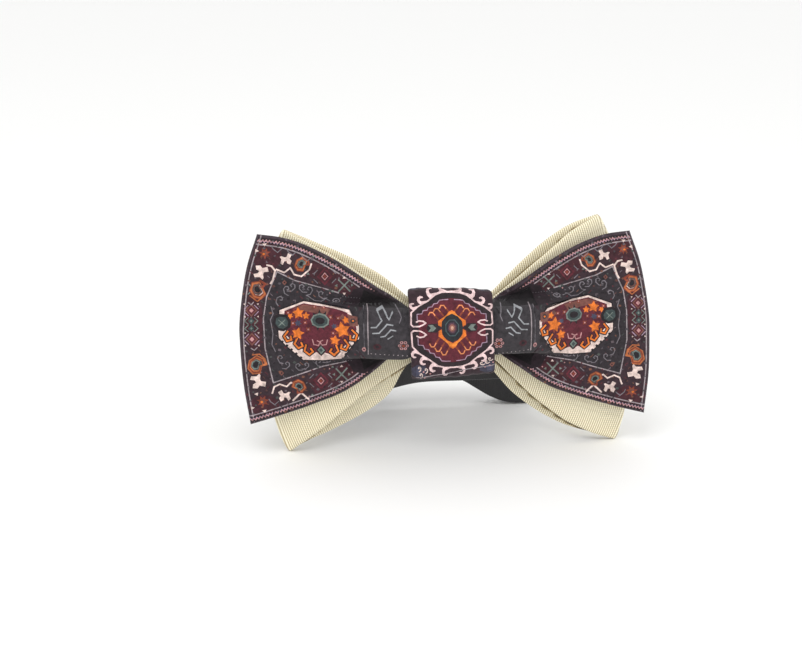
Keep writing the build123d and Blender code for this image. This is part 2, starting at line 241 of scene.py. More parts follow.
def ribbed_material(name, colour, shadow):
    """Cream ribbed cloth: the ribs are in the mesh, the threads across them are nodes. The colour has painted
    shade: darker in the rib valleys and in the gap between the leaves.
    """
    look = Look(name)
    rib_and_gap_shade = look.attribute("rib_and_gap_shade", "Fac")
    threads = look.weave(0.62, (0.1, 0.2, 1.0), (0.02, 0.02, 0.01))
    # painted shade: the colour goes from the shadow colour in the rib valleys to the full colour on the rib
    # tops
    tone = look.mix(look.remap(rib_and_gap_shade, 0.0, 1.0, 0.05, 0.62), shadow, colour)
    # below zero, the attribute stands for painted shade in the gap between two leaves
    tone = look.shade(tone, rib_and_gap_shade, 0.16, 1.0, -1.6, -0.1)
    tone = look.shade(tone, threads, 0.88, 1.1, -1, 1)
    tone = look.shade(tone, look.noise(1500.0, 2.0), 0.9, 1.08)
    tone = look.shade(tone, look.noise(60.0), 0.95, 1.04)
    return look.finish(tone, threads, 0.25, 0.05, {"Roughness": 0.62, "Sheen Weight": 0.15,
                                                   "Sheen Roughness": 0.4})


def plain_cloth(name, colour, pitch):
    look = Look(name)
    weave = look.weave(pitch, (0.7, 0.5, 0.7), (-0.7, 0.5, 0.7))
    tone = look.shade(colour, weave, 0.85, 1.15, -1, 1)
    tone = look.shade(tone, look.noise(300.0), 0.85, 1.15)
    return look.finish(tone, weave, 0.3, 0.06, {"Roughness": 0.85, "Sheen Weight": 0.15})


def satin_material(name, colour):
    """Ribbed satin ribbon: fine ribs across it, streaks along it and an even, soft gloss."""
    look = Look(name)
    weave = look.weave(0.55, (1.0, 1.0, 0.0), (0.0, 0.0, 0.02))
    tone = look.shade(colour, look.noise(700.0, 2.0), 0.6, 1.5)
    gloss = look.remap(look.noise(150.0), 0.40, 0.56)
    return look.finish(tone, weave, 0.5, 0.06, {"Roughness": gloss, "Sheen Weight": 0.2, "Anisotropic": 0.4})


def metal_material(name, colour):
    """Dark nickel plate, lightly scratched and worn."""
    look = Look(name)
    wear = look.noise(500.0, 5.0)
    return look.finish(look.shade(colour, wear, 0.75, 1.3), look.noise(1800.0), 0.08, 0.03,
                       {"Metallic": 1.0, "Roughness": look.remap(wear, 0.2, 0.42)})


# ---------------------------------------------------------------- meshes

def make_object(name, points, faces, material, smooth=True):
    mesh = bpy.data.meshes.new(name)
    mesh.from_pydata([tuple(p) for p in points], [], faces)
    mesh.update()
    mesh.polygons.foreach_set("use_smooth", [smooth] * len(mesh.polygons))
    mesh.materials.append(material)
    obj = bpy.data.objects.new(name, mesh)
    bpy.context.scene.collection.objects.link(obj)
    return obj


def colour_faces(obj, colours):
    """One colour for each face, in the attribute that the print material reads."""
    attribute = obj.data.color_attributes.new("print", "BYTE_COLOR", "CORNER")
    values = []
    for polygon, colour in zip(obj.data.polygons, colours):
        values.extend(list(colour) * polygon.loop_total)
    attribute.data.foreach_set("color", values)


def distance_to(points, line):
    """Distance from each point to an open polyline."""
    a, b = line[:-1], line[1:]
    edge = b - a
    length2 = np.maximum((edge ** 2).sum(1), 1e-12)
    best = np.full(len(points), 1e9)
    for start in range(0, len(points), 4000):
        chunk = points[start:start + 4000]
        offset = chunk[:, None, :] - a[None]
        t = np.clip((offset * edge[None]).sum(2) / length2[None], 0, 1)
        gap = offset - t[..., None] * edge[None]
        best[start:start + 4000] = np.sqrt((gap ** 2).sum(2)).min(1)
    return best


def local(x, z, turn, size=1.0, flip=1.0):
    """A function that scales points drawn about the origin, perhaps mirrors them, turns them and moves them
    to (x, z)."""
    c, s = math.cos(turn) * size, math.sin(turn) * size
    return lambda points: [(x + c * a * flip - s * b, z + s * a * flip + c * b) for a, b in points]


class Print:
    """A flat drawing: closed shapes, the later ones on top of the earlier."""

    def __init__(self):
        self.shapes = []

    def fill(self, points, colour):
        self.shapes.append((np.array(points, float), colour))

    def line(self, points, width, colour, closed=False):
        """A line of that width, as one quadrilateral for each straight piece."""
        p = np.array(points, float)
        if closed:
            p = np.vstack([p, p[:1]])
        for a, b in zip(p[:-1], p[1:]):
            along = (b - a) / np.linalg.norm(b - a)
            side = np.array([-along[1], along[0]]) * width / 2
            a2, b2 = a - along * width * 0.3, b + along * width * 0.3
            self.fill([a2 - side, b2 - side, b2 + side, a2 + side], colour)

    def lines(self, width, colour, *many):
        for points in many:
            self.line(points, width, colour)

    def polygon(self, x, z, rx, rz, sides, colour, turn=0.0):
        angles = [turn + 2 * math.pi * i / sides for i in range(sides)]
        self.fill([(x + rx * math.cos(a), z + rz * math.sin(a)) for a in angles], colour)

    def nested(self, x, z, turn, *rings):
        """Polygons about one point, each given as (rx, rz, sides, colour)."""
        for ring in rings:
            self.polygon(x, z, *ring, turn)

    def diamond(self, x, z, r, colour, core, ring=None):
        self.polygon(x, z, r, r * 1.15, 4, colour)
        if ring:
            self.polygon(x, z, r * 0.72, r * 0.82, 4, ring)
        self.polygon(x, z, r * 0.38, r * 0.44, 4, core)

    def star(self, x, z, r, colour, points, turn):
        corners = []
        for i in range(2 * points):
            size = r if i % 2 == 0 else r * 0.52
            angle = turn + math.pi * i / points
            corners.append((x + size * math.cos(angle), z + size * math.sin(angle)))
        self.fill(corners, colour)

    def cross(self, x, z, r, width, colour):
        self.lines(width, colour, [(x - r, z - r), (x + r, z + r)], [(x - r, z + r), (x + r, z - r)])

    def horn(self, x, z, turn, size, width, colour, flip=1.0):
        """A ram's horn: a stem that curls back on itself."""
        stem = [(0, 0), (0, 0.9), (0.75, 1.25), (1.15, 0.7), (0.75, 0.35)]
        self.line(local(x, z, turn, size, flip)(stem), width, colour)

    def scroll(self, x, z, turn, size, width, colour, flip=1.0):
        """A low hook like a curling wave, on a short foot."""
        hook = [(-1.3, -0.8), (-0.3, -0.75), (0.45, 0.1), (0.35, 0.9), (-0.25, 1.15), (-0.7, 0.7),
                (-0.35, 0.35)]
        self.line(local(x, z, turn, size, flip)(hook), width, colour)

    def beast(self, x, z, turn, size, colour, flip=1.0):
        """A slanted block with legs, a neck and a tail, as woven borders have."""
        block = [(-1.0, -1.1), (-0.35, -0.9), (-0.15, -0.35), (0.3, -0.5), (0.55, -1.25), (1.1, -0.95),
                 (0.95, -0.05), (1.35, 0.45), (1.0, 0.6), (0.35, 0.4), (-0.05, 0.5), (-0.3, 1.3), (-1.1, 1.0),
                 (-0.75, 0.1), (-1.2, -0.3)]
        self.fill(local(x, z, turn, size, flip)(block), colour)

    def link(self, x, z, turn, size, outer, inner, core):
        """A hooked six-sided link with an open corner."""
        ring = [(-0.7, -0.9), (0.1, -1.25), (0.85, -0.8), (1.0, 0.2), (0.4, 1.1), (-0.5, 0.95)]
        self.fill(local(x, z, turn, size)(ring), outer)
        self.line(local(x, z, turn, size * 0.8)(ring), 0.16 * size, inner, True)
        self.fill(local(x, z, turn, size * 0.58)(ring), core)
        self.line(local(x, z, turn, size)([(-0.5, 0.95), (-0.95, 0.4), (-0.5, 0.1)]), 0.26 * size, outer)


def anticlockwise(polygon):
    x, z = polygon[:, 0], polygon[:, 1]
    area = np.sum(x * np.roll(z, -1) - z * np.roll(x, -1))
    return polygon if area > 0 else polygon[::-1]


def triangulate(outline, shapes, loose):
    """Triangles of the outline's inside, with each shape's edge followed, and a colour for each."""
    coords = []
    faces = []
    for polygon in [outline] + [points for points, _ in shapes]:
        faces.append(list(range(len(coords), len(coords) + len(polygon))))
        coords.extend(anticlockwise(polygon))
    coords.extend(loose)
    vectors = [Vector((float(a), float(b))) for a, b in coords]
    verts, _, tris, _, _, origin = delaunay_2d_cdt(vectors, [], faces, 0, 1e-4, True)
    kept, colours = [], []
    for tri, source in zip(tris, origin):
        if 0 in source and len(tri) == 3:
            top = max(source)
            kept.append(tuple(tri))
            colours.append(GROUND if top == 0 else shapes[top - 1][1])
    return np.array([tuple(v) for v in verts]), kept, colours


def inside(points, outline):
    """Whether each point is inside the closed outline."""
    result = np.zeros(len(points), bool)
    previous = outline[-1]
    for current in outline:
        crosses = (current[1] > points[:, 1]) != (previous[1] > points[:, 1])
        rise = previous[1] - current[1]
        rise = rise if abs(rise) > 1e-12 else 1e-12
        at = (previous[0] - current[0]) * (points[:, 1] - current[1]) / rise + current[0]
        result ^= crosses & (points[:, 0] < at)
        previous = current
    return result


def grid_inside(outline, step, keep_off, edge_line):
    """A staggered grid of points inside the outline, no nearer to its edge line than keep_off."""
    low, high = outline.min(0), outline.max(0)
    points = []
    for row, z in enumerate(np.arange(low[1], high[1], step * 0.87)):
        for x in np.arange(low[0] + (row % 2) * step / 2, high[0], step):
            points.append((x, z))
    points = np.array(points)
    points = points[inside(points, outline)]
    return points[distance_to(points, edge_line) > keep_off]


def edge_rows(edge_line, outline, offsets):
    """Rows of points beside the edge line, inside the outline."""
    rows = []
    for offset in offsets:
        for side in (1, -1):
            row = beside(edge_line, offset * side)
            row = row[inside(row, outline)]
            rows.append(row[distance_to(row, edge_line) > offset * 0.93])
    return np.vstack(rows)


def two_sided(name, flat, tris, colours, surface, half, gap, merge, material):
    """A closed sheet: a printed face and a plain back, rounded off where they meet. surface(points) gives the
    middle of the sheet and its unit normal towards the face. gap is how many roundings each point is from the
    edge. Points nearer together than merge become one."""
    middle, normal = surface(flat)
    lift = normal * (half * round_off(gap))[:, None]
    faces = tris + [tuple(i + len(flat) for i in reversed(f)) for f in tris]
    obj = make_object(name, place(np.vstack([middle + lift, middle - lift])), faces, material)
    colour_faces(obj, colours + [BACKING] * len(tris))
    weld(obj, merge * MM)
    return obj


def weld(obj, distance):
    mesh = bmesh.new()
    mesh.from_mesh(obj.data)
    bmesh.ops.remove_doubles(mesh, verts=mesh.verts, dist=distance)
    bmesh.ops.recalc_face_normals(mesh, faces=mesh.faces)
    mesh.to_mesh(obj.data)
    mesh.free()


def tube_faces(rows, columns, base=0):
    """Faces of a closed tube whose points go round in rows, and of its two ends."""
    faces = []
    for i in range(rows - 1):
        for j in range(columns):
            a, b = base + i * columns + j, base + i * columns + (j + 1) % columns
            faces.append((a, b, b + columns, a + columns))
    faces.append(tuple(base + j for j in range(columns))[::-1])
    faces.append(tuple(base + (rows - 1) * columns + j for j in range(columns)))
    return faces


# ---------------------------------------------------------------- front bow

WING_TOP = [(10.5, 44.0), (12.5, 44.6), (17, 47.8), (22, 51.5), (31.5, 58.2), (40, 62.9), (47, 65.6),
            (54.4, 66.9)]
WING_END = [(54.4, 66.9), (57.8, 56.0), (59.9, 42.0), (60.0, 33.0), (59.3, 21.5), (57.6, 9.2)]
WING_BOTTOM = [(57.6, 9.2), (46, 12.7), (34, 17.0), (27.5, 20.4), (21, 25.2), (15.5, 29.0), (12.5, 30.9),
               (10.5, 31.6)]
WING_LENGTH = 57
WING_HALF_HEIGHT = 29
WING_HALF = 0.95         # half the thickness of a stuffed wing
WING_ROUNDING = 1.3


def wing_warp(x, z, sign):
    """The two wings are not quite mirror images: the right one leans out at its lower corner."""
    u, h = x / WING_LENGTH, (z - WAIST_Z) / WING_HALF_HEIGHT
    if sign < 0:
        return x + 0.3 * u, z + u * u * (0.8 - 0.35 * h)
    return x - u * (0.3 + 1.7 * h), z - u * u * (0.35 + 0.9 * h) - 0.3 * (1 - u)


def wing_fold(x, z, sign):
    """How far the middle of the front bow stands back (+) or forward (-) of its flat ends."""
    half = 6.4 + 0.05 * (x - 12) + 0.2 * np.sin(0.21 * x + sign)
    depth = 6.9 * (1 - smoothstep(10, 46, x)) ** 1.1
    across = (z - RIDGE_Z - 0.25 * sign) / half
    soften = 0.12 + 0.2 * smoothstep(20, 42, x)
    plate = 1 - smoothstep(1 - soften, 1 + soften, np.abs(across))
    crown = np.clip(1 - across ** 2, 0, 1) * 1.1 * (1 - smoothstep(24, 50, x))
    y = -(depth + crown) * plate
    # a dark fold lies above and below the ridge, and dies out towards the ends
    valley = np.exp(-((np.abs(across) - 1.34) / 0.34) ** 2)
    y += 2.3 * valley * (1 - smoothstep(16, 38, x))
    # soft creases run out from the waist
    angle = np.arctan2(z - WAIST_Z, x + 4)
    crease = np.sin(angle * 17 + 1.3 * sign) + 0.6 * np.sin(angle * 29 + 2.1)
    y += 0.26 * crease * (1 - smoothstep(16, 50, x)) * (1 - 0.75 * plate)
    y += 0.10 * np.sin(0.5 * x + 0.9 * sign) * np.sin(0.33 * z) * smoothstep(24, 40, x)
    # the ends curl a little towards the front, the corners more than the middle
    corner = 0.5 + 0.5 * np.abs(z - WAIST_Z) / WING_HALF_HEIGHT
    y -= 1.5 * smoothstep(34, 62, x) * corner + 0.25 * sign * np.sin(z * 0.11)
    return y + 0.25


def wing_surface(sign):
    def surface(points):
        x, z = points[:, 0], points[:, 1]
        step = 0.05
        y = wing_fold(x, z, sign)
        slope_x = (wing_fold(x + step, z, sign) - y) / step
        slope_z = (wing_fold(x, z + step, sign) - y) / step
        seen_x, seen_z = wing_warp(x, z, sign)
        normal = unit(np.stack([slope_x * sign, -np.ones_like(x), slope_z], 1))
        return np.stack([seen_x * sign, y, seen_z], 1), normal
    return surface


def zigzag(drawing, line, low, high, width, colour):
    """A zigzag between two distances from a line, on its right-hand side."""
    pitch = 0.95
    run = run_along(line)
    at = np.arange(0, run[-1], pitch / 2)
    offset = np.where(np.arange(len(at)) % 2 == 0, low, high)
    drawing.line(beside(at_runs(at, run, line), offset[:, None]), width, colour)


def wing_print():
    d = Print()
    top, end, bottom = (curve_through(p, 1.6) for p in (WING_TOP, WING_END, WING_BOTTOM))
    draw_ground(d, top, bottom)
    for line, band in ((top, True), (end, False), (bottom, True)):
        d.line(beside(line, 0.35), 0.42, PIPING)
        d.line(beside(line, 2.75 if band else 1.15), 0.34, LINE)
        if band:
            d.line(beside(line, 1.5), 1.5, INK)
            zigzag(d, line, 1.15, 1.8, 0.24, PINK)
            zigzag(d, line, 1.45, 2.05, 0.13, LILAC)
    draw_specks(d)
    draw_border(d)
    draw_painted_fold_shade(d)
    draw_field(d)
    draw_medallion(d)
    draw_ridge(d)
    return d


def draw_painted_fold_shade(d):
    """Painted shade: darker colour down in the folds above and below the ridge, where the cloth lies in
    shadow near the waist.
    """
    for up, edge in ((1, [(10.8, 44.6), (14, 45.4), (17.5, 47.4), (21, 49.4), (24.5, 51.0), (27.5, 50.2)]),
                     (-1, [(10.8, 31.0), (14, 29.6), (17.5, 27.9), (21, 26.0), (24.5, 24.4), (27.5, 25.0)])):
        ridge_edge = [(10.8, 0.0), (14, 5.9), (17.5, 6.1), (21, 6.3), (26, 6.6), (31, 7.2)]
        inner = [(x, RIDGE_Z + up * half) for x, half in ridge_edge]
        # painted shade over the fold, from the ridge's edge out to the wing's edge
        d.fill(edge + inner[::-1], rgb(40, 28, 35))
        shorter = [(x, z - up * 0.9) for x, z in edge[:5]]
        # deeper painted shade over all of the fold but its outer strip
        d.fill(shorter + inner[:5][::-1], DEEP_FOLD_SHADE)


def draw_ground(d, top, bottom):
    """Wine-red stretches and dark folds of the border, the field and the slate ground of the ridge."""
    for line, up in ((top, 1), (bottom[::-1], -1)):
        outer = [(a, b - up * 3.2) for a, b in line if 12.5 < a < 40]
        inner = [(a + 2.0, b - up * 7.6) for a, b in line if 12.5 < a < 40]
        d.fill(outer + inner[::-1], WINE)
    for x, z, rx, rz in ((51.8, 60.8, 4.2, 4.6), (55.9, 41.0, 2.6, 9.0), (53.6, 15.0, 4.4, 3.6)):
        d.polygon(x, z, rx, rz, 12, WINE)
    field = [(26, 48.2), (31.6, 49.4), (44.1, 53.2), (49.1, 55.9), (52.2, 48.5), (53.2, 41.9), (53.0, 33.0),
             (50.8, 22.3), (42.2, 25.0), (36.6, 26.9), (29.4, 28.2), (26, 29.0)]
    d.fill(field, FIELD)
    d.line(field[1:-1], 0.34, LINE)


def draw_specks(d):
    """Small broken marks of the worn print, spread evenly over the whole wing."""
    tones = (rgb(92, 60, 56), rgb(84, 78, 84), INK, rgb(104, 92, 98), rgb(86, 38, 46), rgb(70, 74, 72),
             rgb(112, 74, 60))
    # multiples of these two numbers fill a square evenly
    even_x, even_z = 0.754877666, 0.569840291
    for k in range(620):
        x = 12.5 + 46.0 * ((k * even_x) % 1.0)
        z = 12.0 + 54.0 * ((k * even_z) % 1.0)
        turn = k * 1.9
        size = 0.34 + 0.26 * math.sin(k * 0.7) ** 2
        if k % 3:
            d.line([(x - size * math.cos(turn), z - size * math.sin(turn)), (x, z),
                    (x + size * math.sin(turn), z + size * math.cos(turn))], 0.24, tones[k % 7])
        else:
            d.polygon(x, z, size, size * 0.8, 4, tones[k % 7], turn)


def draw_border(d):
    """Figures of the border: blocks, hooked links, small diamonds and crosses."""
    for x, z, r in ((52.4, 61.4, 1.15), (54.0, 16.6, 1.2)):
        d.star(x, z, r * 1.5, RUST, 7, 0.2)
        d.star(x, z, r * 0.85, BROWN, 5, 0.8)
        d.polygon(x + 0.3, z - 0.2, r * 0.35, r * 0.3, 5, ORANGE)
    for x, z, turn in ((52.4, 64.0, 0.5), (54.7, 62.2, 1.2), (53.6, 13.6, 0.3), (57.0, 14.6, 0.9),
                       (55.7, 18.8, 0.1)):
        d.polygon(x, z, 0.72, 0.6, 3, PALE, turn)
    # the pale ribbon that runs round the field's outer corners
    d.line([(51.0, 52.4), (50.4, 53.4), (49.6, 56.2), (50.6, 57.6), (51.9, 57.9)], 0.5, PALE)
    d.lines(0.45, PALE,
            [(49.3, 56.6), (47.0, 55.6), (45.3, 56.9), (44.2, 54.9), (42.2, 54.3), (39.9, 56.2),
             (39.3, 57.9)],
            [(51.2, 19.0), (50.6, 21.0), (49.0, 21.8), (47.0, 21.0), (45.8, 22.2), (44.4, 21.6)])
    d.line([(45.2, 16.6), (42.9, 19.0), (40.7, 16.9)], 0.5, PALE)
    d.lines(0.3, SAGE, [(57.0, 52.4), (55.8, 50.8), (57.4, 49.4)], [(57.6, 29.3), (56.4, 27.9), (57.6, 26.4)])
    # blocks
    d.beast(46.5, 59.5, 0.1, 1.35, PALE)
    d.beast(53.6, 55.9, 1.75, 1.6, PALE, -1)
    d.beast(47.7, 18.2, -0.2, 1.45, PALE, -1)
    d.beast(55.2, 22.7, 1.4, 1.75, PALE)
    # links
    for row in ((42.0, 57.9, 0.5, 2.0, RUST, EMBER, BROWN), (42.1, 58.0, 0.5, 1.1, SAGE, TEAL, INK),
                (54.5, 50.7, -0.3, 2.5, RUST, EMBER, PALE), (54.7, 50.9, -0.3, 1.5, BROWN, TEAL, INK),
                (55.4, 27.9, 0.35, 2.6, EMBER, RUST, BROWN), (55.6, 28.0, 0.35, 1.5, TEAL, SAGE, INK),
                (43.4, 20.9, 2.2, 2.0, RUST, EMBER, BROWN), (43.4, 20.8, 2.2, 1.1, TEAL, SAGE, INK)):
        d.link(*row)
    d.lines(0.34, EMBER, [(56.9, 49.0), (54.8, 47.2), (53.3, 48.6)],
            [(53.0, 29.6), (54.6, 31.2), (56.6, 31.0)])
    # side diamonds and crosses
    x = 56.6
    for z in (44.5, 35.7):
        d.diamond(x, z, 1.7, BROWN, PINK, MAROON)
        for side in (-1, 1):
            for up in (1, -1):
                d.line([(x + side * 0.9, z + up * 1.6), (x + side * 2.0, z + up * 0.4)], 0.24, LILAC)
            for up, turn in ((1, 0.4), (-1, 2.0)):
                d.polygon(x + side * 1.9, z + up * 1.9, 0.36, 0.32, 3, PALE, turn)
    x = 56.7
    for z in (41.3, 39.0):
        d.diamond(x, z, 0.95, TEAL, SAGE)
        for side in (-1, 1):
            d.line([(x + side * 0.9, z + 1.0), (x + side * 1.9, z), (x + side * 0.9, z - 1.0)], 0.24, SAGE)
    d.lines(0.28, LINE, [(55.9, 47.0), (56.6, 46.2), (57.4, 46.9)],
            [(55.2, 33.2), (56.0, 32.4), (56.9, 33.0)])
    # diamonds and crosses along the long sides
    for x, z in ((35.5, 54.1), (37.0, 22.6)):
        d.diamond(x, z, 2.3, MAROON, BROWN, WINE)
        d.diamond(x, z, 1.0, PINK, RUST, MAROON)
        for side in (-1, 1):
            for up in (1, -1):
                d.line([(x + side * 2.1, z + up * 1.9), (x + side * 3.2, z + up * 0.8)], 0.26, GREY)
    for x, z in ((30.0, 51.4), (31.0, 24.4)):
        d.cross(x, z, 1.6, 0.4, SAGE)
        for side in (1, -1):
            d.polygon(x, z + side * 2.2, 0.55, 0.45, 3, PALE, side * 1.57)
        for side, turn in ((1, 0.0), (-1, 3.14)):
            d.polygon(x + side * 2.2, z, 0.5, 0.45, 3, SAGE, turn)
    for x, z in ((40.3, 55.0), (33.2, 49.8), (32.5, 20.2), (39.6, 18.2), (33.6, 26.6), (26.9, 49.6),
                 (27.0, 25.4), (38.6, 60.1), (33.4, 57.1), (35.0, 18.6)):
        d.polygon(x, z, 0.5, 0.42, 3, SAGE, 0.3 * x)
        d.polygon(x + 0.9, z - 0.5, 0.26, 0.22, 4, PINK)
    for x, z in ((25.0, 50.0), (24.6, 26.6), (21.0, 47.6), (20.4, 28.6)):
        d.diamond(x, z, 1.3, WINE, BROWN, INK)
    for x, z in ((48.8, 62.4), (44.6, 61.4), (50.6, 16.2), (40.4, 59.6)):
        d.line([(x - 1.2, z + 0.3), (x, z - 0.8), (x + 1.2, z + 0.2), (x + 1.6, z + 1.0)], 0.26, GREY)


def draw_field(d):
    """Grey scrolls of the inner field, in a row above and below the medallion."""
    for x, z, turn, flip in ((46.9, 50.3, 0.5, 1), (44.6, 50.9, 0.1, -1), (42.3, 50.6, 0.0, 1),
                             (39.6, 49.9, -0.2, -1), (49.0, 47.6, 1.0, 1), (36.7, 48.4, -0.2, 1)):
        d.scroll(x, z, turn, 1.2, 0.26, GREY, flip)
    for x, z, turn, flip in ((49.0, 29.4, 0.3, 1), (46.6, 27.3, 0.1, -1), (43.8, 26.8, 0.0, 1),
                             (41.0, 27.0, 0.1, -1), (38.0, 28.0, 0.2, 1), (34.8, 28.9, 0.3, -1)):
        d.scroll(x, z, turn, 1.1, 0.24, GREY, flip)
    d.lines(0.26, GREY, [(51.0, 45.6), (50.4, 43.4), (51.2, 41.6), (50.6, 37.4), (51.0, 34.0), (50.0, 31.8)],
            [(40.6, 48.6), (38.6, 47.0), (36.6, 46.6), (35.4, 47.6), (34.2, 46.8)])
    d.diamond(47.0, 52.6, 0.7, BROWN, INK)
    d.diamond(48.4, 25.2, 0.7, BROWN, INK)
    d.nested(32.4, 46.8, 0.0, (1.15, 1.0, 8, GREY), (0.85, 0.7, 8, FIELD), (0.4, 0.35, 6, GREY))
    for k in range(7):
        d.polygon(30.4 - k * 0.8, 48.4 - k * 0.12, 0.16, 0.16, 4, GREY)
        d.polygon(33.0 - k * 0.8, 28.9 - k * 0.1, 0.16, 0.16, 4, GREY)


def draw_medallion(d):
    """The eight-sided medallion: a pale rim with hooks, a maroon field, orange stars and a grey flower."""
    rim = [(48.6, 44.4), (41.7, 46.9), (28.7, 43.8), (27.4, 42.6), (25.2, 39.4), (25.4, 37.4), (27.4, 35.4),
           (30.8, 30.4), (36.4, 29.3), (42.0, 29.3), (46.8, 33.6), (48.9, 36.0), (49.0, 38.0)]
    cx, cz = 37.0, 38.0
    d.fill([(cx + (x - cx) * 1.035, cz + (z - cz) * 1.05) for x, z in rim], INK)
    d.fill(rim, PALE)
    # stair-stepped lower sides of the rim
    for (x0, z0), (x1, z1) in (((31.0, 30.0), (26.6, 36.2)), ((42.0, 29.4), (48.6, 35.4))):
        for k in range(5):
            t = (k + 0.5) / 5
            d.polygon(x0 + (x1 - x0) * t, z0 + (z1 - z0) * t, 0.5, 0.5, 4, INK)
    field = [(47.2, 44.2), (41.7, 46.3), (29.2, 43.3), (27.0, 41.6), (26.6, 39.4), (27.8, 37.0), (29.2, 35.0),
             (31.6, 32.9), (33.6, 31.4), (35.6, 31.8), (36.8, 30.8), (38.0, 31.8), (39.9, 31.2), (42.4, 32.8),
             (45.0, 35.0), (46.8, 36.8), (46.8, 38.4), (46.0, 40.4), (47.4, 42.4)]
    d.fill(field, MAROON)
    d.fill([(44.6, 44.9), (41.7, 45.9), (34.0, 44.2), (35.0, 42.9), (41.4, 43.9)], BROWN)
    d.fill([(30.6, 43.2), (27.6, 41.5), (27.2, 39.9), (29.4, 41.2), (31.6, 42.2)], BROWN)
    # hooks that cut into the pale rim, orange outside and dark inside
    for x, z, turn, flip in ((46.3, 38.0, -2.5, 1), (43.6, 35.9, -2.7, 1), (41.1, 33.9, -2.9, 1),
                             (32.4, 34.4, 2.8, -1), (30.0, 36.2, 2.5, -1), (27.9, 39.2, 2.3, -1)):
        d.horn(x, z, turn, 2.1, 1.15, INK, flip)
        d.horn(x, z, turn, 2.1, 0.5, ORANGE, flip)
    for x, z, turn, flip in ((39.2, 35.6, 2.9, 1), (34.8, 35.8, -2.9, -1)):
        d.horn(x, z, turn, 1.7, 0.3, PINK, flip)
    d.diamond(36.7, 32.5, 1.5, INK, TEAL, SAGE)
    # orange figures
    for x, z, r, turn in ((43.2, 43.4, 1.5, 0.2), (43.4, 37.3, 1.6, 0.5), (30.6, 39.0, 2.0, 0.1),
                          (32.7, 35.8, 1.3, 0.4), (29.6, 41.8, 0.9, 0.0), (40.9, 42.6, 0.95, 0.3),
                          (45.6, 42.6, 0.8, 1.0)):
        d.star(x, z, r * 1.3, RUST, 6, turn + 0.4)
        d.star(x, z, r * 1.2, ORANGE, 5, turn)
    for x, z, r in ((46.2, 43.6, 0.6), (40.3, 38.6, 0.7), (33.9, 42.4, 0.7), (31.8, 42.2, 0.6),
                    (44.8, 40.4, 0.8), (35.9, 44.6, 0.5), (38.6, 45.0, 0.6), (41.2, 40.6, 0.6),
                    (33.2, 37.9, 0.6)):
        d.star(x, z, r * 1.2, RUST, 4, 0.7)
        d.polygon(x, z, r * 0.4, r * 0.4, 5, PINK)
    d.star(43.3, 40.4, 1.15, BLUE, 6, 0.2)
    d.star(32.9, 39.9, 0.9, BLUE, 6, 0.2)
    # flower
    d.star(36.9, 41.3, 3.1, INK, 9, 0.1)
    d.nested(36.9, 41.3, 0.1, (2.7, 2.1, 9, SAGE), (2.25, 1.7, 9, TEAL), (1.4, 1.0, 9, INK))
    # sage square in the outer notch
    d.fill([(50.2, 42.6), (49.0, 43.4), (46.4, 43.0), (45.4, 41.0), (45.6, 39.2), (47.4, 38.0), (49.6, 38.4),
            (50.6, 40.2)], INK)
    d.fill([(49.6, 42.0), (48.7, 42.5), (46.9, 42.2), (46.2, 40.8), (46.4, 39.6), (47.6, 38.8), (49.0, 39.1),
            (49.8, 40.4)], TEAL)
    d.cross(48.0, 40.6, 0.9, 0.24, SAGE)
    # brown square at the inner end
    d.fill([(29.2, 43.2), (26.4, 42.8), (26.2, 40.4), (28.4, 40.2)], BROWN)
    d.nested(27.6, 41.7, 0.0, (0.75, 0.7, 6, SLATE), (0.35, 0.3, 5, ORANGE))


def draw_ridge(d):
    """Marks on the slate ground beside the waist."""
    pale_grey = rgb(156, 158, 162)
    d.fill([(8, 44.0), (20, 44.1), (24.4, 44.4), (26.0, 43.4), (26.0, 33.4), (24, 31.0), (20, 31.2),
            (8, 31.4)], SLATE)
    d.line([(23.5, 44.6), (23.5, 38.6), (23.4, 32.4)], 0.32, LINE)
    d.line([(24.6, 44.4), (24.6, 38.6), (24.5, 33.0)], 0.18, GREY)
    d.lines(0.36, pale_grey,
            [(22.6, 40.2), (21.2, 40.3), (19.6, 42.1), (20.9, 43.8), (19.2, 44.2), (17.6, 42.4),
             (16.6, 43.6)],
            [(22.2, 38.6), (20.4, 38.8), (18.2, 41.2), (16.6, 41.0)],
            [(20.0, 37.7), (18.8, 38.0), (17.2, 39.8), (15.8, 39.6)])
    d.line([(18.0, 37.2), (16.6, 38.2)], 0.3, pale_grey)
    d.line([(15.4, 44.4), (14.2, 43.0), (14.8, 41.6)], 0.24, GREY)
    d.nested(20.9, 34.8, 0.0, (1.2, 0.9, 9, WINE), (0.55, 0.45, 8, INK))
    d.nested(24.6, 33.8, 0.0, (0.6, 0.7, 6, PINK), (0.25, 0.3, 6, WINE))
    for k in range(6):
        a = k * math.pi / 3
        d.nested(13.7 + 1.05 * math.cos(a), 35.4 + 1.05 * math.sin(a), 0.0, (0.5, 0.45, 6, PINK),
                 (0.22, 0.2, 6, INK))
    d.polygon(13.7, 35.4, 0.5, 0.45, 6, RUST)
    for k in range(9):
        d.polygon(22.6 - 1.25 * k, 32.6 - 0.03 * k, 0.22, 0.16, 4, LINE)


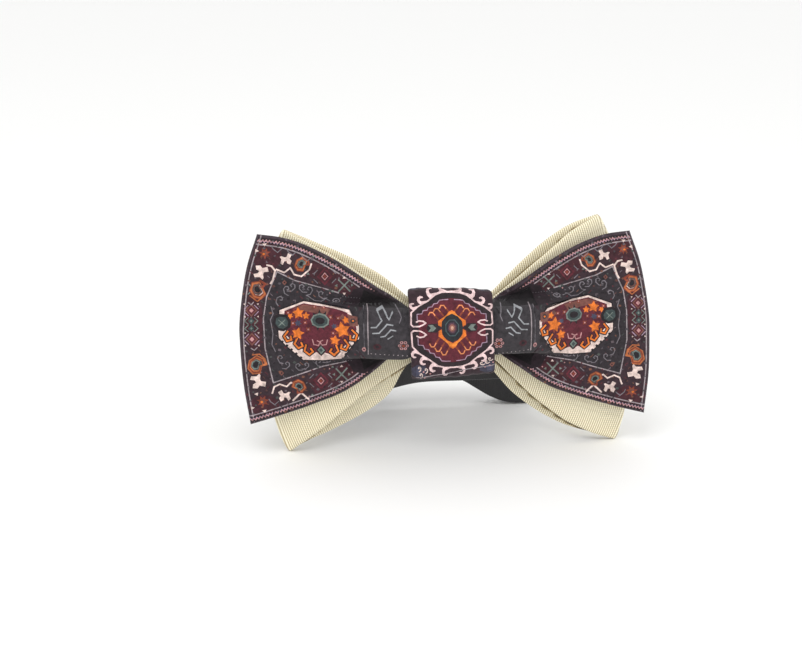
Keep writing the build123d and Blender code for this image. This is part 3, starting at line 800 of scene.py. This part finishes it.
def build_front_bow(material):
    shapes = wing_print().shapes
    edge = np.vstack([curve_through(p, 0.55)[:-1] for p in (WING_TOP, WING_END, WING_BOTTOM)]
                     + [np.array([WING_BOTTOM[-1]])])
    closed = np.vstack([edge, edge[:1]])
    grid_step = 0.62
    loose = np.vstack([grid_inside(edge, grid_step, WING_ROUNDING * 1.15, closed),
                       edge_rows(closed, edge, [WING_ROUNDING * f for f in EDGE_SHARES])])
    flat, tris, colours = triangulate(edge, shapes, loose)
    gap = (distance_to(flat, closed) - 0.003) / WING_ROUNDING
    for sign, side in ((-1, "left"), (1, "right")):
        wing = two_sided(f"front_bow_{side}", flat, tris, colours, wing_surface(sign),
                         WING_HALF, gap, 0.002, material)
        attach(wing, BODY)
    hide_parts("front_bow_face", "front_bow_interlining")
    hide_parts("front_bow_back", "front_bow_seam_thread", "pleat_tack_stitches")


# ---------------------------------------------------------------- rear bow

RIB_PITCH = 0.64
RIB_HEIGHT = 0.15
FAN_X = -45.0            # the ribs are arcs about this point, so they stay nearly upright at the waist
REAR_HALF = 0.5
REAR_ROWS = 800
REAR_COLUMNS = 30
LEAF_LENGTH = 48.0
# Edges of the leaves as (x, z), for each side: top of the front and the rear leaf, then bottom of both
LEAF_EDGES = {
    -1: ([(9, 42.4), (11.8, 44.2), (17.8, 48.6), (23.8, 52.6), (29.7, 56.9), (36, 60.9), (46.9, 66.9)],
         [(9, 44.0), (11.4, 45.7), (17.4, 51.0), (23.4, 54.9), (29.4, 58.4), (35.6, 61.4), (46.9, 66.9)],
         [(9, 27.0), (10.6, 25.8), (17.9, 21.3), (24, 17.1), (30.1, 12.4), (34.2, 9.0), (40, 4.6),
          (46.4, 0.05)],
         [(9, 26.8), (12.4, 22.6), (15.8, 16.2), (20, 12.2), (25.7, 8.7), (34, 4.9), (40, 2.7),
          (46.4, 0.05)]),
    1: ([(9, 42.6), (13.7, 45.2), (19.3, 49.6), (25.3, 55.0), (30.4, 59.4), (36.6, 64.9), (44.4, 69.1)],
        [(9, 43.6), (13.9, 46.2), (18, 50.2), (24, 56.1), (29.9, 61.4), (36.6, 65.9), (44.4, 69.1)],
        [(9, 28.6), (14.6, 26.0), (19.9, 20.7), (26.2, 14.4), (31.7, 9.9), (36.8, 6.2), (44.6, 2.4),
         (51.4, 0.05)],
        [(9, 27.2), (12.4, 24.6), (15.4, 20.8), (20.5, 14.7), (26.8, 9.5), (32.4, 6.0), (37.5, 3.6),
         (44.6, 1.6), (51.4, 0.05)]),
}


def rear_path():
    """Run (0 to 1) along a leaf and y, out along the front leaf and back along the rear leaf."""
    front = [(0.0, 4.6), (0.12, 4.8), (0.3, 4.7), (0.5, 4.1), (0.8, 3.9), (0.96, 4.6)]
    fold = [(0.992, 4.85), (1.0, 5.4), (0.992, 5.95)]
    rear = [(0.96, 6.3), (0.8, 7.4), (0.5, 8.3), (0.3, 8.4), (0.12, 7.6), (0.0, 7.0)]
    fine = curve_through(front + fold + rear, 0.002)
    run = run_along(fine * np.array([LEAF_LENGTH, 1.0]))
    return at_runs(np.linspace(0, run[-1], REAR_ROWS), run, fine).T


def leaf_edge(front, rear, run, on_rear):
    """x and z of a leaf's edge, and z of the front leaf's edge, which the rear leaf's is blended from."""
    fine = curve_through(front, 0.5)
    x = fine[0, 0] + (fine[-1, 0] - fine[0, 0]) * run
    front_z = np.interp(x, fine[:, 0], fine[:, 1])
    behind = curve_through(rear, 0.5)
    rear_x = behind[0, 0] + (behind[-1, 0] - behind[0, 0]) * run
    rear_z = np.interp(rear_x, behind[:, 0], behind[:, 1])
    return x, front_z + (rear_z - front_z) * on_rear, front_z


def build_rear_half(sign):
    run, y = rear_path()
    front_top, rear_top, front_low, rear_low = LEAF_EDGES[sign]
    on_rear = smoothstep(5.0, 5.8, y)
    top_x, top_z, top_front = leaf_edge(front_top, rear_top, run, on_rear)
    low_x, low_z, low_front = leaf_edge(front_low, rear_low, run, on_rear)
    grid = np.zeros((REAR_ROWS, 2 * REAR_COLUMNS, 3))
    rib_and_gap_shade = np.zeros((REAR_ROWS, 2 * REAR_COLUMNS))
    normal = -left_of(direction(np.stack([run * LEAF_LENGTH, y], 1)))
    for j in range(2 * REAR_COLUMNS):
        across = -math.cos(math.pi * (j + 0.5) / REAR_COLUMNS)
        side = 1.0 if j < REAR_COLUMNS else -1.0
        spread = math.copysign(abs(across) ** 0.92, across)
        edge = 1 - abs(across)
        s = (spread + 1) / 2
        belly = 5.6 * run * (1 - abs(spread) ** 3)
        x = low_x + (top_x - low_x) * s + belly
        z = low_z + (top_z - low_z) * s
        radius = np.hypot(x - FAN_X, z - WAIST_Z)
        ridge = 0.5 + 0.5 * np.sin(2 * math.pi * radius / RIB_PITCH)
        height = REAR_HALF * round_off(edge / 0.045) + RIB_HEIGHT * ridge * min(1.0, edge / 0.05)
        bow = 0.45 * np.sin(3.1 * run + 1.7 * spread + sign) * run
        lean = (0.6 + 1.5 * (spread < 0)) * spread * run ** 1.5
        grid[:, j, 0] = sign * (x + side * height * normal[:, 0])
        grid[:, j, 1] = y + side * height * normal[:, 1] + bow + lean
        grid[:, j, 2] = z
        # painted shade: the attribute is the rib height, and inside the loop the rear leaf is painted darker
        # where the front leaf stands over it
        under = smoothstep(-1.7, -1.1, z - low_front) * smoothstep(0.7, 1.1, top_front - z)
        rib_and_gap_shade[:, j] = ridge - 2.2 * under * on_rear * (side < 0) * (1 - smoothstep(0.8, 0.97, run))
    return grid.reshape(-1, 3), rib_and_gap_shade.reshape(-1)


def build_rear_bow(material):
    points, faces, rib_and_gap_shades = [], [], []
    for sign in (-1, 1):
        grid, rib_and_gap_shade = build_rear_half(sign)
        tube = tube_faces(REAR_ROWS, 2 * REAR_COLUMNS, len(points))
        faces.extend(tube if sign > 0 else [face[::-1] for face in tube])
        points.extend(grid)
        rib_and_gap_shades.extend(rib_and_gap_shade)
    obj = make_object("rear_bow", place(points), faces, material)
    # the attribute carries painted shade for the rib valleys and for the gap between the leaves
    attribute = obj.data.attributes.new("rib_and_gap_shade", "FLOAT", "POINT")
    attribute.data.foreach_set("value", rib_and_gap_shades)
    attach(obj, BODY)
    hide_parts("rear_bow_outer_ply", "rear_bow_interlining", "rear_bow_inner_ply",
                "rear_bow_join_stitches")


# ---------------------------------------------------------------- knot

KNOT_HALF_X = 12.1
KNOT_HALF = 0.6
KNOT_MIDDLE_Z = 39.0
KNOT_TAPER = 0.15        # the band is drawn in towards its back
KNOT_LEAN = 0.045        # and leans a little to the left
# Corners of the band's middle line as (y, z, radius): it is highest in front and narrows towards the back
KNOT_CORNERS = [(-9.05, 51.4, 2.6), (11.9, 45.0, 2.6), (11.9, 24.6, 3.0), (-9.05, 26.1, 2.4)]


def rounded_path(corners, step):
    """Closed path through the corners, each rounded off with its own radius."""
    points = np.array([c[:2] for c in corners], float)
    out = []
    for i, (_, _, radius) in enumerate(corners):
        here = points[i]
        ends = []
        for other in (points[i - 1], points[(i + 1) % len(points)]):
            ends.append(here + (other - here) * radius / np.linalg.norm(other - here))
        for t in np.linspace(0, 1, 15):
            out.append((1 - t) ** 2 * ends[0] + 2 * t * (1 - t) * here + t * t * ends[1])
    closed = np.vstack([out, out[:1]])
    run = run_along(closed)
    return at_runs(np.linspace(0, run[-1], int(run[-1] / step)), run, closed)[:-1]


def knot_path():
    """The band's middle line in the yz plane, its length from the front's middle, and its outward normal."""
    line = rounded_path(KNOT_CORNERS, 0.1)
    back = int(np.argmin(np.abs(line[:, 1] - 36.0) + 10 * (line[:, 0] < 0)))
    line = np.roll(line, -back, axis=0)
    line = np.vstack([line, line[:1]])
    if line[20, 1] > line[0, 1]:
        line = line[::-1]
    run = run_along(line)
    front = int(np.argmin(np.abs(line[:, 1] - KNOT_MIDDLE_Z) + 10 * (line[:, 0] > 0)))
    along = np.gradient(line, axis=0)
    along[0] = along[-1] = line[1] - line[-2]
    return run - run[front], line, left_of(unit(along))


def knot_surface(points):
    run, line, normal = knot_path()
    x, s = points[:, 0], points[:, 1]
    outward = unit(at_runs(s, run, normal))
    # the band is fuller along its middle, and puckers a little round its upper corners
    swell = 0.35 * (1 - (x / KNOT_HALF_X) ** 2) + 0.10 * np.sin(0.55 * x + 0.4 * s)
    swell += 0.12 * np.sin(1.9 * x) * np.exp(-((np.abs(s) - 12.5) / 2.0) ** 2)
    y, z = (at_runs(s, run, line) + outward * swell[:, None]).T
    across = z - KNOT_MIDDLE_Z
    z = KNOT_MIDDLE_Z + across * (1 - KNOT_LEAN * x / KNOT_HALF_X)
    x = x * (1 - KNOT_TAPER * np.clip((y + 8.5) / 20.0, 0, 1)) - KNOT_LEAN * across
    return np.stack([x, y, z], 1), np.stack([0 * x, outward[:, 0], outward[:, 1]], 1)


MEDALLION_RISE = 1.7
UPPER_HALF, LOWER_HALF = 0.88, 1.04      # the medallion is drawn together above its middle


def wave(d, put, x, z, turn, size, colour):
    """A horn like a breaking wave, on a base line that runs along the turn."""
    shape = [(-1.5, -0.15), (1.1, -0.15), (1.35, 0.9), (1.15, 1.8), (0.5, 2.35), (-0.4, 2.25), (-0.95, 1.6),
             (-0.75, 1.3), (-0.3, 1.6), (0.2, 1.6), (0.45, 1.15), (0.2, 0.65), (-0.6, 0.3)]
    d.fill(put(local(x, z, turn, size)(shape)), colour)


def draw_quarter(d, half, pale, frame_ink):
    """A quarter of the knot's medallion, drawn as its upper right one; half() mirrors it into place."""
    d.fill(half([(0, 0), (11.6, 0), (11.6, 5.0), (9.6, 6.9), (6.6, 8.9), (4.4, 10.6), (2.6, 11.1),
                 (0, 11.2)]), frame_ink)
    d.fill(half([(0, 0), (9.6, 0), (9.6, 4.3), (8.3, 5.0), (7.7, 6.3), (6.4, 6.9), (5.2, 8.2),
                 (3.9, 8.6), (3.3, 9.6), (0, 9.9)]), MAROON)
    # pale frame, drawn into a pair of rams' horns at each side
    d.line(half([(0, 11.35), (2.6, 11.25), (4.5, 10.7), (6.7, 9.0), (9.7, 7.0), (11.55, 5.1),
                 (11.7, 1.2), (11.1, 0.62), (9.4, 0.66), (8.3, 1.15), (7.5, 1.75), (8.3, 2.35),
                 (9.4, 2.5), (10.2, 2.1)]), 0.42, pale)
    for x, z, turn, size in ((10.3, 6.6, -0.75, 0.85), (7.9, 8.4, -0.62, 0.95),
                             (5.2, 10.4, -0.6, 0.95), (2.2, 11.5, -0.15, 0.8)):
        wave(d, half, x, z, turn, size, pale)
    # stepped lilac line
    d.line(half([(9.9, 2.7), (9.9, 4.6), (8.5, 4.75), (8.1, 5.8), (7.0, 5.95), (6.6, 6.9),
                 (5.5, 7.1), (5.0, 8.1), (4.0, 8.3), (3.4, 9.3), (2.2, 9.45), (0.9, 9.5)]), 0.24, LILAC)
    # orange hooks round the lozenge, with light tips
    for x, z in ((0.7, 5.3), (2.4, 4.2), (3.9, 2.9)):
        hook = [(x, z), (x + 0.9, z + 1.3), (x + 1.5, z + 2.3), (x + 2.3, z + 2.3),
                (x + 2.75, z + 1.4)]
        d.line(half(hook), 0.5, RUST)
        d.line(half(hook[1:]), 0.28, rgb(232, 146, 96))
    d.fill(half([(2.9, 0.3), (3.9, 0.9), (4.0, 2.4), (2.9, 3.2), (1.5, 4.4), (0.9, 5.5), (0.0, 6.0),
                 (0.0, 4.4), (1.5, 3.6), (2.6, 2.4), (3.0, 1.2)]), ORANGE)
    d.fill(half([(0.0, 4.6), (0.9, 4.2), (2.0, 3.4), (2.4, 3.1), (2.9, 3.2), (1.5, 4.4), (0.9, 5.2),
                 (0.0, 5.4)]), rgb(240, 140, 56))


def knot_print():
    """The band's pattern as (across, along): the medallion in front, rows of plainer figures on the rest."""
    d = Print()
    pale, frame_ink = rgb(232, 202, 202), rgb(44, 34, 38)
    for s in (-1, 1):
        for side in (-1, 1):
            d.polygon(side * 9.9, s * 12.4 + MEDALLION_RISE, 2.6, 1.9, 7, rgb(62, 60, 76))
            d.star(side * 10.3, s * 12.6 + MEDALLION_RISE, 1.3, BLUE, 5, 0.4)
    for up in (UPPER_HALF, -LOWER_HALF):
        for side in (-1, 1):
            def half(points, side=side, up=up):
                return [(side * x, up * z + MEDALLION_RISE) for x, z in points]
            draw_quarter(d, half, pale, frame_ink)

    def centred(points):
        return [(x, z + MEDALLION_RISE) for x, z in points]

    d.fill(centred([(-3.1, 0), (-2.9, 1.9), (-1.7, 3.4), (0, 4.3), (1.7, 3.4), (2.9, 1.9), (3.1, 0),
                    (2.9, -1.9), (1.7, -3.4), (0, -4.3), (-1.7, -3.4), (-2.9, -1.9)]), rgb(40, 42, 46))
    d.nested(0, MEDALLION_RISE, 0.39, (2.1, 2.7, 8, rgb(72, 92, 94)), (1.85, 2.45, 8, rgb(46, 44, 52)),
             (1.3, 1.7, 8, rgb(92, 62, 76)), (0.9, 1.15, 8, rgb(150, 98, 88)),
             (0.45, 0.6, 8, rgb(206, 160, 140)))
    for side in (-1, 1):
        d.fill(centred([(side * 3.1, 0), (side * 4.5, 1.3), (side * 6.9, 1.2), (side * 7.4, 0),
                        (side * 6.9, -1.2), (side * 4.5, -1.3)]), frame_ink)
        d.fill(centred([(side * 4.6, 0), (side * 5.5, 0.95), (side * 6.9, 0.95), (side * 6.1, 0),
                        (side * 6.9, -0.95), (side * 5.5, -0.95)]), SAGE)
    # small marks in the lower corners, a thin border line, and plain dark cloth on the rest
    for x, z in ((-9.6, -10.2), (-7.7, -10.8), (-9.2, -12.0), (9.6, -9.6), (8.2, -10.0), (10.6, -8.8)):
        d.scroll(x, z + 0.2, 0.6, 0.55, 0.24, PALE, 1 if x < 0 else -1)
        d.polygon(x + 0.9, z - 0.7, 0.3, 0.26, 4, PINK)
    d.line([(-12.2, -12.6), (-4.0, -11.9), (3.0, -11.0), (12.2, -10.3)], 0.22, LINE)
    for s in (-1, 1):
        d.fill([(-12.4, s * 15.4), (12.4, s * 15.4), (12.4, s * 19), (-12.4, s * 19)], INK)
        d.line([(-12, s * 15.2), (12, s * 15.2)], 0.3, LINE)
        for k in range(-5, 6):
            d.diamond(k * 2.3, s * 22.5, 0.9, RUST, PALE, MAROON)
        d.line([(-12, s * 26.0), (12, s * 26.0)], 0.35, LINE)
        for k in range(-4, 5):
            d.scroll(k * 2.6, s * 31.0, 0.0, 1.1, 0.3, LINE, s)
        d.line([(-12, s * 35.5), (12, s * 35.5)], 0.35, LINE)
    return d


def build_knot(material):
    run, _, _ = knot_path()
    at = np.linspace(run[0], run[-1], int((run[-1] - run[0]) / 0.6) + 1)
    outline = np.vstack([np.stack([np.full(len(at), KNOT_HALF_X), at], 1),
                         np.stack([np.full(len(at), -KNOT_HALF_X), at[::-1]], 1)])
    edge = KNOT_HALF_X - np.array(EDGE_SHARES)
    columns = np.concatenate([edge, np.arange(-10.8, 10.9, 0.6), -edge])
    loose = np.array([(x, s) for x in columns for s in at[1:-1]])
    flat, tris, colours = triangulate(outline, knot_print().shapes, loose)
    gap = KNOT_HALF_X - np.abs(flat[:, 0])
    obj = two_sided("knot", flat, tris, colours, knot_surface, KNOT_HALF, gap, 0.03, material)
    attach(obj, BODY)
    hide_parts("knot_band", "knot_lining")


# ---------------------------------------------------------------- neck strap

STRAP_WIDTH = 15.0
STRAP_HALF = 0.44
HOOK_FOLD = (-8.0, 23.4, 32.5)
FLOOR_FOLD = (30.0, 40.5, 7.7)
BACK_RUN_Z = 16.6
BACK_TURN = (-36.0, 26.6, BACK_RUN_Z)
EYE_FOLD = (-36.0, 45.0, BACK_RUN_Z)
RETURN_Y = 47.0
SLIDER_FROM_EYE = 24.0
SLIDER_BAR_Y = 45.6
ALONG = np.array([-1.0, 0.0, 0.0])
UP = np.array([0.0, 0.0, 1.0])
TURN_RADIUS = 1.4


def half_turn(centre, radius, side, first, count=25):
    """Half a circle about an upright axis: it bulges to side in x and starts at first in y (1 or -1)."""
    x, y, z = centre
    return [(x + side * radius * math.sin(a), y + first * radius * math.cos(a), z)
            for a in np.linspace(0, math.pi, count)]


def strap_line():
    """The strap's middle line from its sewn end at the hook, through the knot, to the fold round the eye."""
    hx, hy, hz = HOOK_FOLD
    line = [(hx - 8.0, hy + TURN_RADIUS, hz)]
    line += half_turn(HOOK_FOLD, TURN_RADIUS, 1, 1)
    line += [(-18, hy - 1.1, hz + 0.1), (-28, hy - 1.5, hz - 0.1)]
    line += half_turn((-38.0, 16.1, hz), 5.9, -1, 1)
    line += [(-30, 10.0, hz + 0.7), (-20, 10.3, hz + 2.2), (-12.5, 10.2, 35.5), (0, 10.2, 35.7),
             (12.5, 10.2, 35.4), (20, 10.3, 32.8), (32, 10.0, 28.0)]
    line += half_turn((42.0, 12.7, 24.0), 2.5, 1, -1)
    line += [(25, 15.4, 23.9), (8, 15.0, 23.8), (-8, 15.2, 23.4), (-22, 15.3, 20.2)]
    line += half_turn(BACK_TURN, 11.4, -1, -1)
    last_runs = (-24, -10, 4, 10, 14, 18, 22, 26)
    line += [(x, 38.0 + 0.25 * math.sin(0.14 * x), dropped(x)) for x in last_runs]
    line += half_turn(FLOOR_FOLD, 2.5, 1, -1)
    line += [(x, 43.0, dropped(x)) for x in last_runs[::-1]]
    line += half_turn(EYE_FOLD, 2.0, -1, -1, 19)
    return curve_through(line, 0.55)


def dropped(x):
    """Height of the strap's middle along its last two runs, which drop to the table at their right ends."""
    return BACK_RUN_Z + (FLOOR_FOLD[2] - BACK_RUN_Z) * float(smoothstep(8, 28, x))


def smoothed(rows, count):
    """Each row averaged with its neighbours, count of them in all."""
    reach = count // 2
    padded = np.vstack([np.repeat(rows[:1], reach, 0), rows, np.repeat(rows[-1:], reach, 0)])
    kernel = np.ones(count) / count
    return np.stack([np.convolve(padded[:, k], kernel, "valid") for k in range(3)], 1)


def ribbon(name, line, material, across=None):
    """A closed ribbon on edge along the line, with rounded, slightly thicker selvages."""
    columns = 21
    along = direction(line)
    if across is None:
        up = unit(smoothed(unit(UP - along * along[:, 2:3]), 9))
    else:
        up = np.repeat([across], len(line), 0)
    normal = unit(np.cross(along, up))
    ring = []
    for side in (1, -1):
        for j in range(columns):
            s = -math.cos(math.pi * (j + 0.5) / columns) * side
            edge = (1 - abs(s)) * STRAP_WIDTH / 2
            thicker = 0.16 * math.exp(-((edge - 0.8) / 0.35) ** 2)
            thinner = 0.10 * math.exp(-((edge - 1.7) / 0.25) ** 2)
            lift = STRAP_HALF * round_off(edge / 0.4) * (1 + thicker - thinner)
            ring.append((s * STRAP_WIDTH / 2, side * lift))
    points = np.array([line + up * a + normal * b for a, b in ring]).transpose(1, 0, 2)
    obj = make_object(name, place(points.reshape(-1, 3)), tube_faces(len(line), len(ring)), material)
    weld(obj, 0.001 * MM)
    return obj


def build_strap(material):
    line = strap_line()
    strap = ribbon("neck_strap_satin", line, material)
    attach(strap, BODY)
    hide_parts("neck_strap")

    start = np.array([EYE_FOLD[0], RETURN_Y, EYE_FOLD[2]])
    bar = np.array([EYE_FOLD[0], SLIDER_BAR_Y, EYE_FOLD[2]]) - ALONG * SLIDER_FROM_EYE
    back = [tuple(start + (d, w, 0)) for d, w in ((0.2, 0), (6, 0.12), (12, 0.2), (18, 0.1))]
    tail = [tuple(bar - (d, TURN_RADIUS, 0)) for d in (3.5, 7.0)]
    line = curve_through(back + half_turn(bar, TURN_RADIUS, 1, 1, 15) + tail, 0.45)
    ply = ribbon("strap_return_satin", line, material, UP)
    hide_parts("strap_return_ply")
    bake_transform(ply)


# ---------------------------------------------------------------- stitches that show

def sew(name, stitches, radius, body, material, *replaced):
    """Short round threads, each from one point to another, that sink into the cloth at both ends.
    A stitch is (start, end); the cloth faces the back."""
    sides, stations = 6, 5
    outward = np.array([0.0, 1.0, 0.0])
    points, faces = [], []
    for start, end in np.array(stitches):
        beside_it = np.cross(unit((end - start)[None])[0], outward)
        faces.extend(tube_faces(stations, sides, len(points)))
        for t in np.linspace(0, 1, stations):
            arch = math.sin(math.pi * t)
            thick = radius * (0.55 + 0.45 * arch)
            for k in range(sides):
                a = 2 * math.pi * k / sides
                up = radius * (1.2 * arch - 0.5) + thick * math.cos(a)
                points.append(start + (end - start) * t + outward * up + beside_it * thick * math.sin(a))
    obj = make_object(name, place(points), faces, material)
    weld(obj, 0.0005 * MM)
    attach(obj, body)
    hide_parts(*replaced)


def bar_tack(x, y, z):
    """A zigzag of threads across a strap."""
    steps = 24
    half_length, half_width = 0.9, 6.2
    corners = [(x + (half_length if k % 2 else -half_length), y, z + half_width * (2 * k / steps - 1))
               for k in range(steps + 1)]
    return list(zip(corners[:-1], corners[1:]))


def build_stitches(material):
    back = KNOT_CORNERS[1][0] + KNOT_HALF + 0.2
    heights = [27.5 + 2.4 * k for k in range(7)]
    closing = [((6.4, back, z), (8.4, back, z + 0.9)) for z in heights]
    sew("knot_closing_stitches", closing, 0.22, BODY, material, "knot_stitches")
    tail_x = 5.0
    hook_tack = bar_tack(HOOK_FOLD[0] - tail_x, HOOK_FOLD[1] + TURN_RADIUS + STRAP_HALF, HOOK_FOLD[2])
    sew("hook_bar_tack", hook_tack, 0.15, BODY, material, "hook_end_stitches")
    slider_tack = bar_tack(EYE_FOLD[0] + SLIDER_FROM_EYE - tail_x, RETURN_Y + STRAP_HALF, EYE_FOLD[2])
    sew("slider_bar_tack", slider_tack, 0.15, "slider", material, "slider_end_stitches")


# ---------------------------------------------------------------- stage, light and camera

def build_stage():
    look = Look("pale_floor")
    look.feed(look.shader, {"Base Color": (0.93, 0.93, 0.92, 1), "Roughness": 0.6})
    size = 3.0
    floor = make_object("floor", [(-size, -size, 0), (size, -size, 0), (size, size, 0), (-size, size, 0)],
                        [(0, 1, 2, 3)], look.material, False)
    world = bpy.data.worlds.new("studio")
    bpy.context.scene.world = world
    world.use_nodes = True
    world.node_tree.nodes["Background"].inputs["Color"].default_value = (1, 1, 1, 1)
    world.node_tree.nodes["Background"].inputs["Strength"].default_value = 1.0
    bpy.context.scene.view_settings.view_transform = "Standard"


def add_light(name, location, target, size, power):
    data = bpy.data.lights.new(name, "AREA")
    data.size = size
    data.energy = power
    light = bpy.data.objects.new(name, data)
    light.location = location
    light.rotation_euler = (Vector(target) - Vector(location)).to_track_quat("-Z", "Y").to_euler()
    bpy.context.scene.collection.objects.link(light)


VIEW_AZIMUTH = math.radians(-6)
VIEW_ELEVATION = math.radians(17)
VIEW_DISTANCE = 0.498
LENS = 77.0


def build_camera():
    data = bpy.data.cameras.new("camera")
    data.lens = LENS
    data.sensor_width = 36
    camera = bpy.data.objects.new("camera", data)
    target = Vector((-0.0137, PLANE_Y, 0.0373))
    direction = Vector((math.sin(VIEW_AZIMUTH) * math.cos(VIEW_ELEVATION),
                        -math.cos(VIEW_AZIMUTH) * math.cos(VIEW_ELEVATION), math.sin(VIEW_ELEVATION)))
    camera.location = target + direction * VIEW_DISTANCE
    camera.rotation_euler = (-direction).to_track_quat("-Z", "Y").to_euler()
    bpy.context.scene.collection.objects.link(camera)
    bpy.context.scene.camera = camera


build_camera()
build_stage()
add_light("key", (-0.25, -0.45, 0.75), (0, 0, 0.03), 0.45, 2.2)
add_light("fill", (0.6, -0.35, 0.35), (0, 0, 0.03), 0.6, 0.4)

printed = print_material("printed_twill")
# the second colour is painted shade, for the rib valleys
cream = ribbed_material("cream_rib", rgb(250, 243, 216), rgb(176, 156, 112))
satin = satin_material("black_satin", rgb(22, 20, 24))

build_front_bow(printed)
build_rear_bow(cream)
build_knot(printed)
build_strap(satin)
build_stitches(plain_cloth("dark_grey_thread", rgb(74, 66, 72), 0.25))

SLOT_MATERIALS = {
    "interlining": plain_cloth("white_interlining", rgb(220, 216, 204), 0.6),
    "thread": plain_cloth("black_thread", rgb(24, 20, 22), 0.25),
    "strap_satin": satin,
    "hardware_metal": metal_material("dark_nickel", rgb(120, 118, 116)),
}
for part in frame["record"]["subparts"]:
    shown = frame["nodes"][part["node"]]
    if not shown.hide_render and part["material_slot"] in SLOT_MATERIALS:
        shown.data.materials.clear()
        shown.data.materials.append(SLOT_MATERIALS[part["material_slot"]])

bpy.context.view_layer.update()
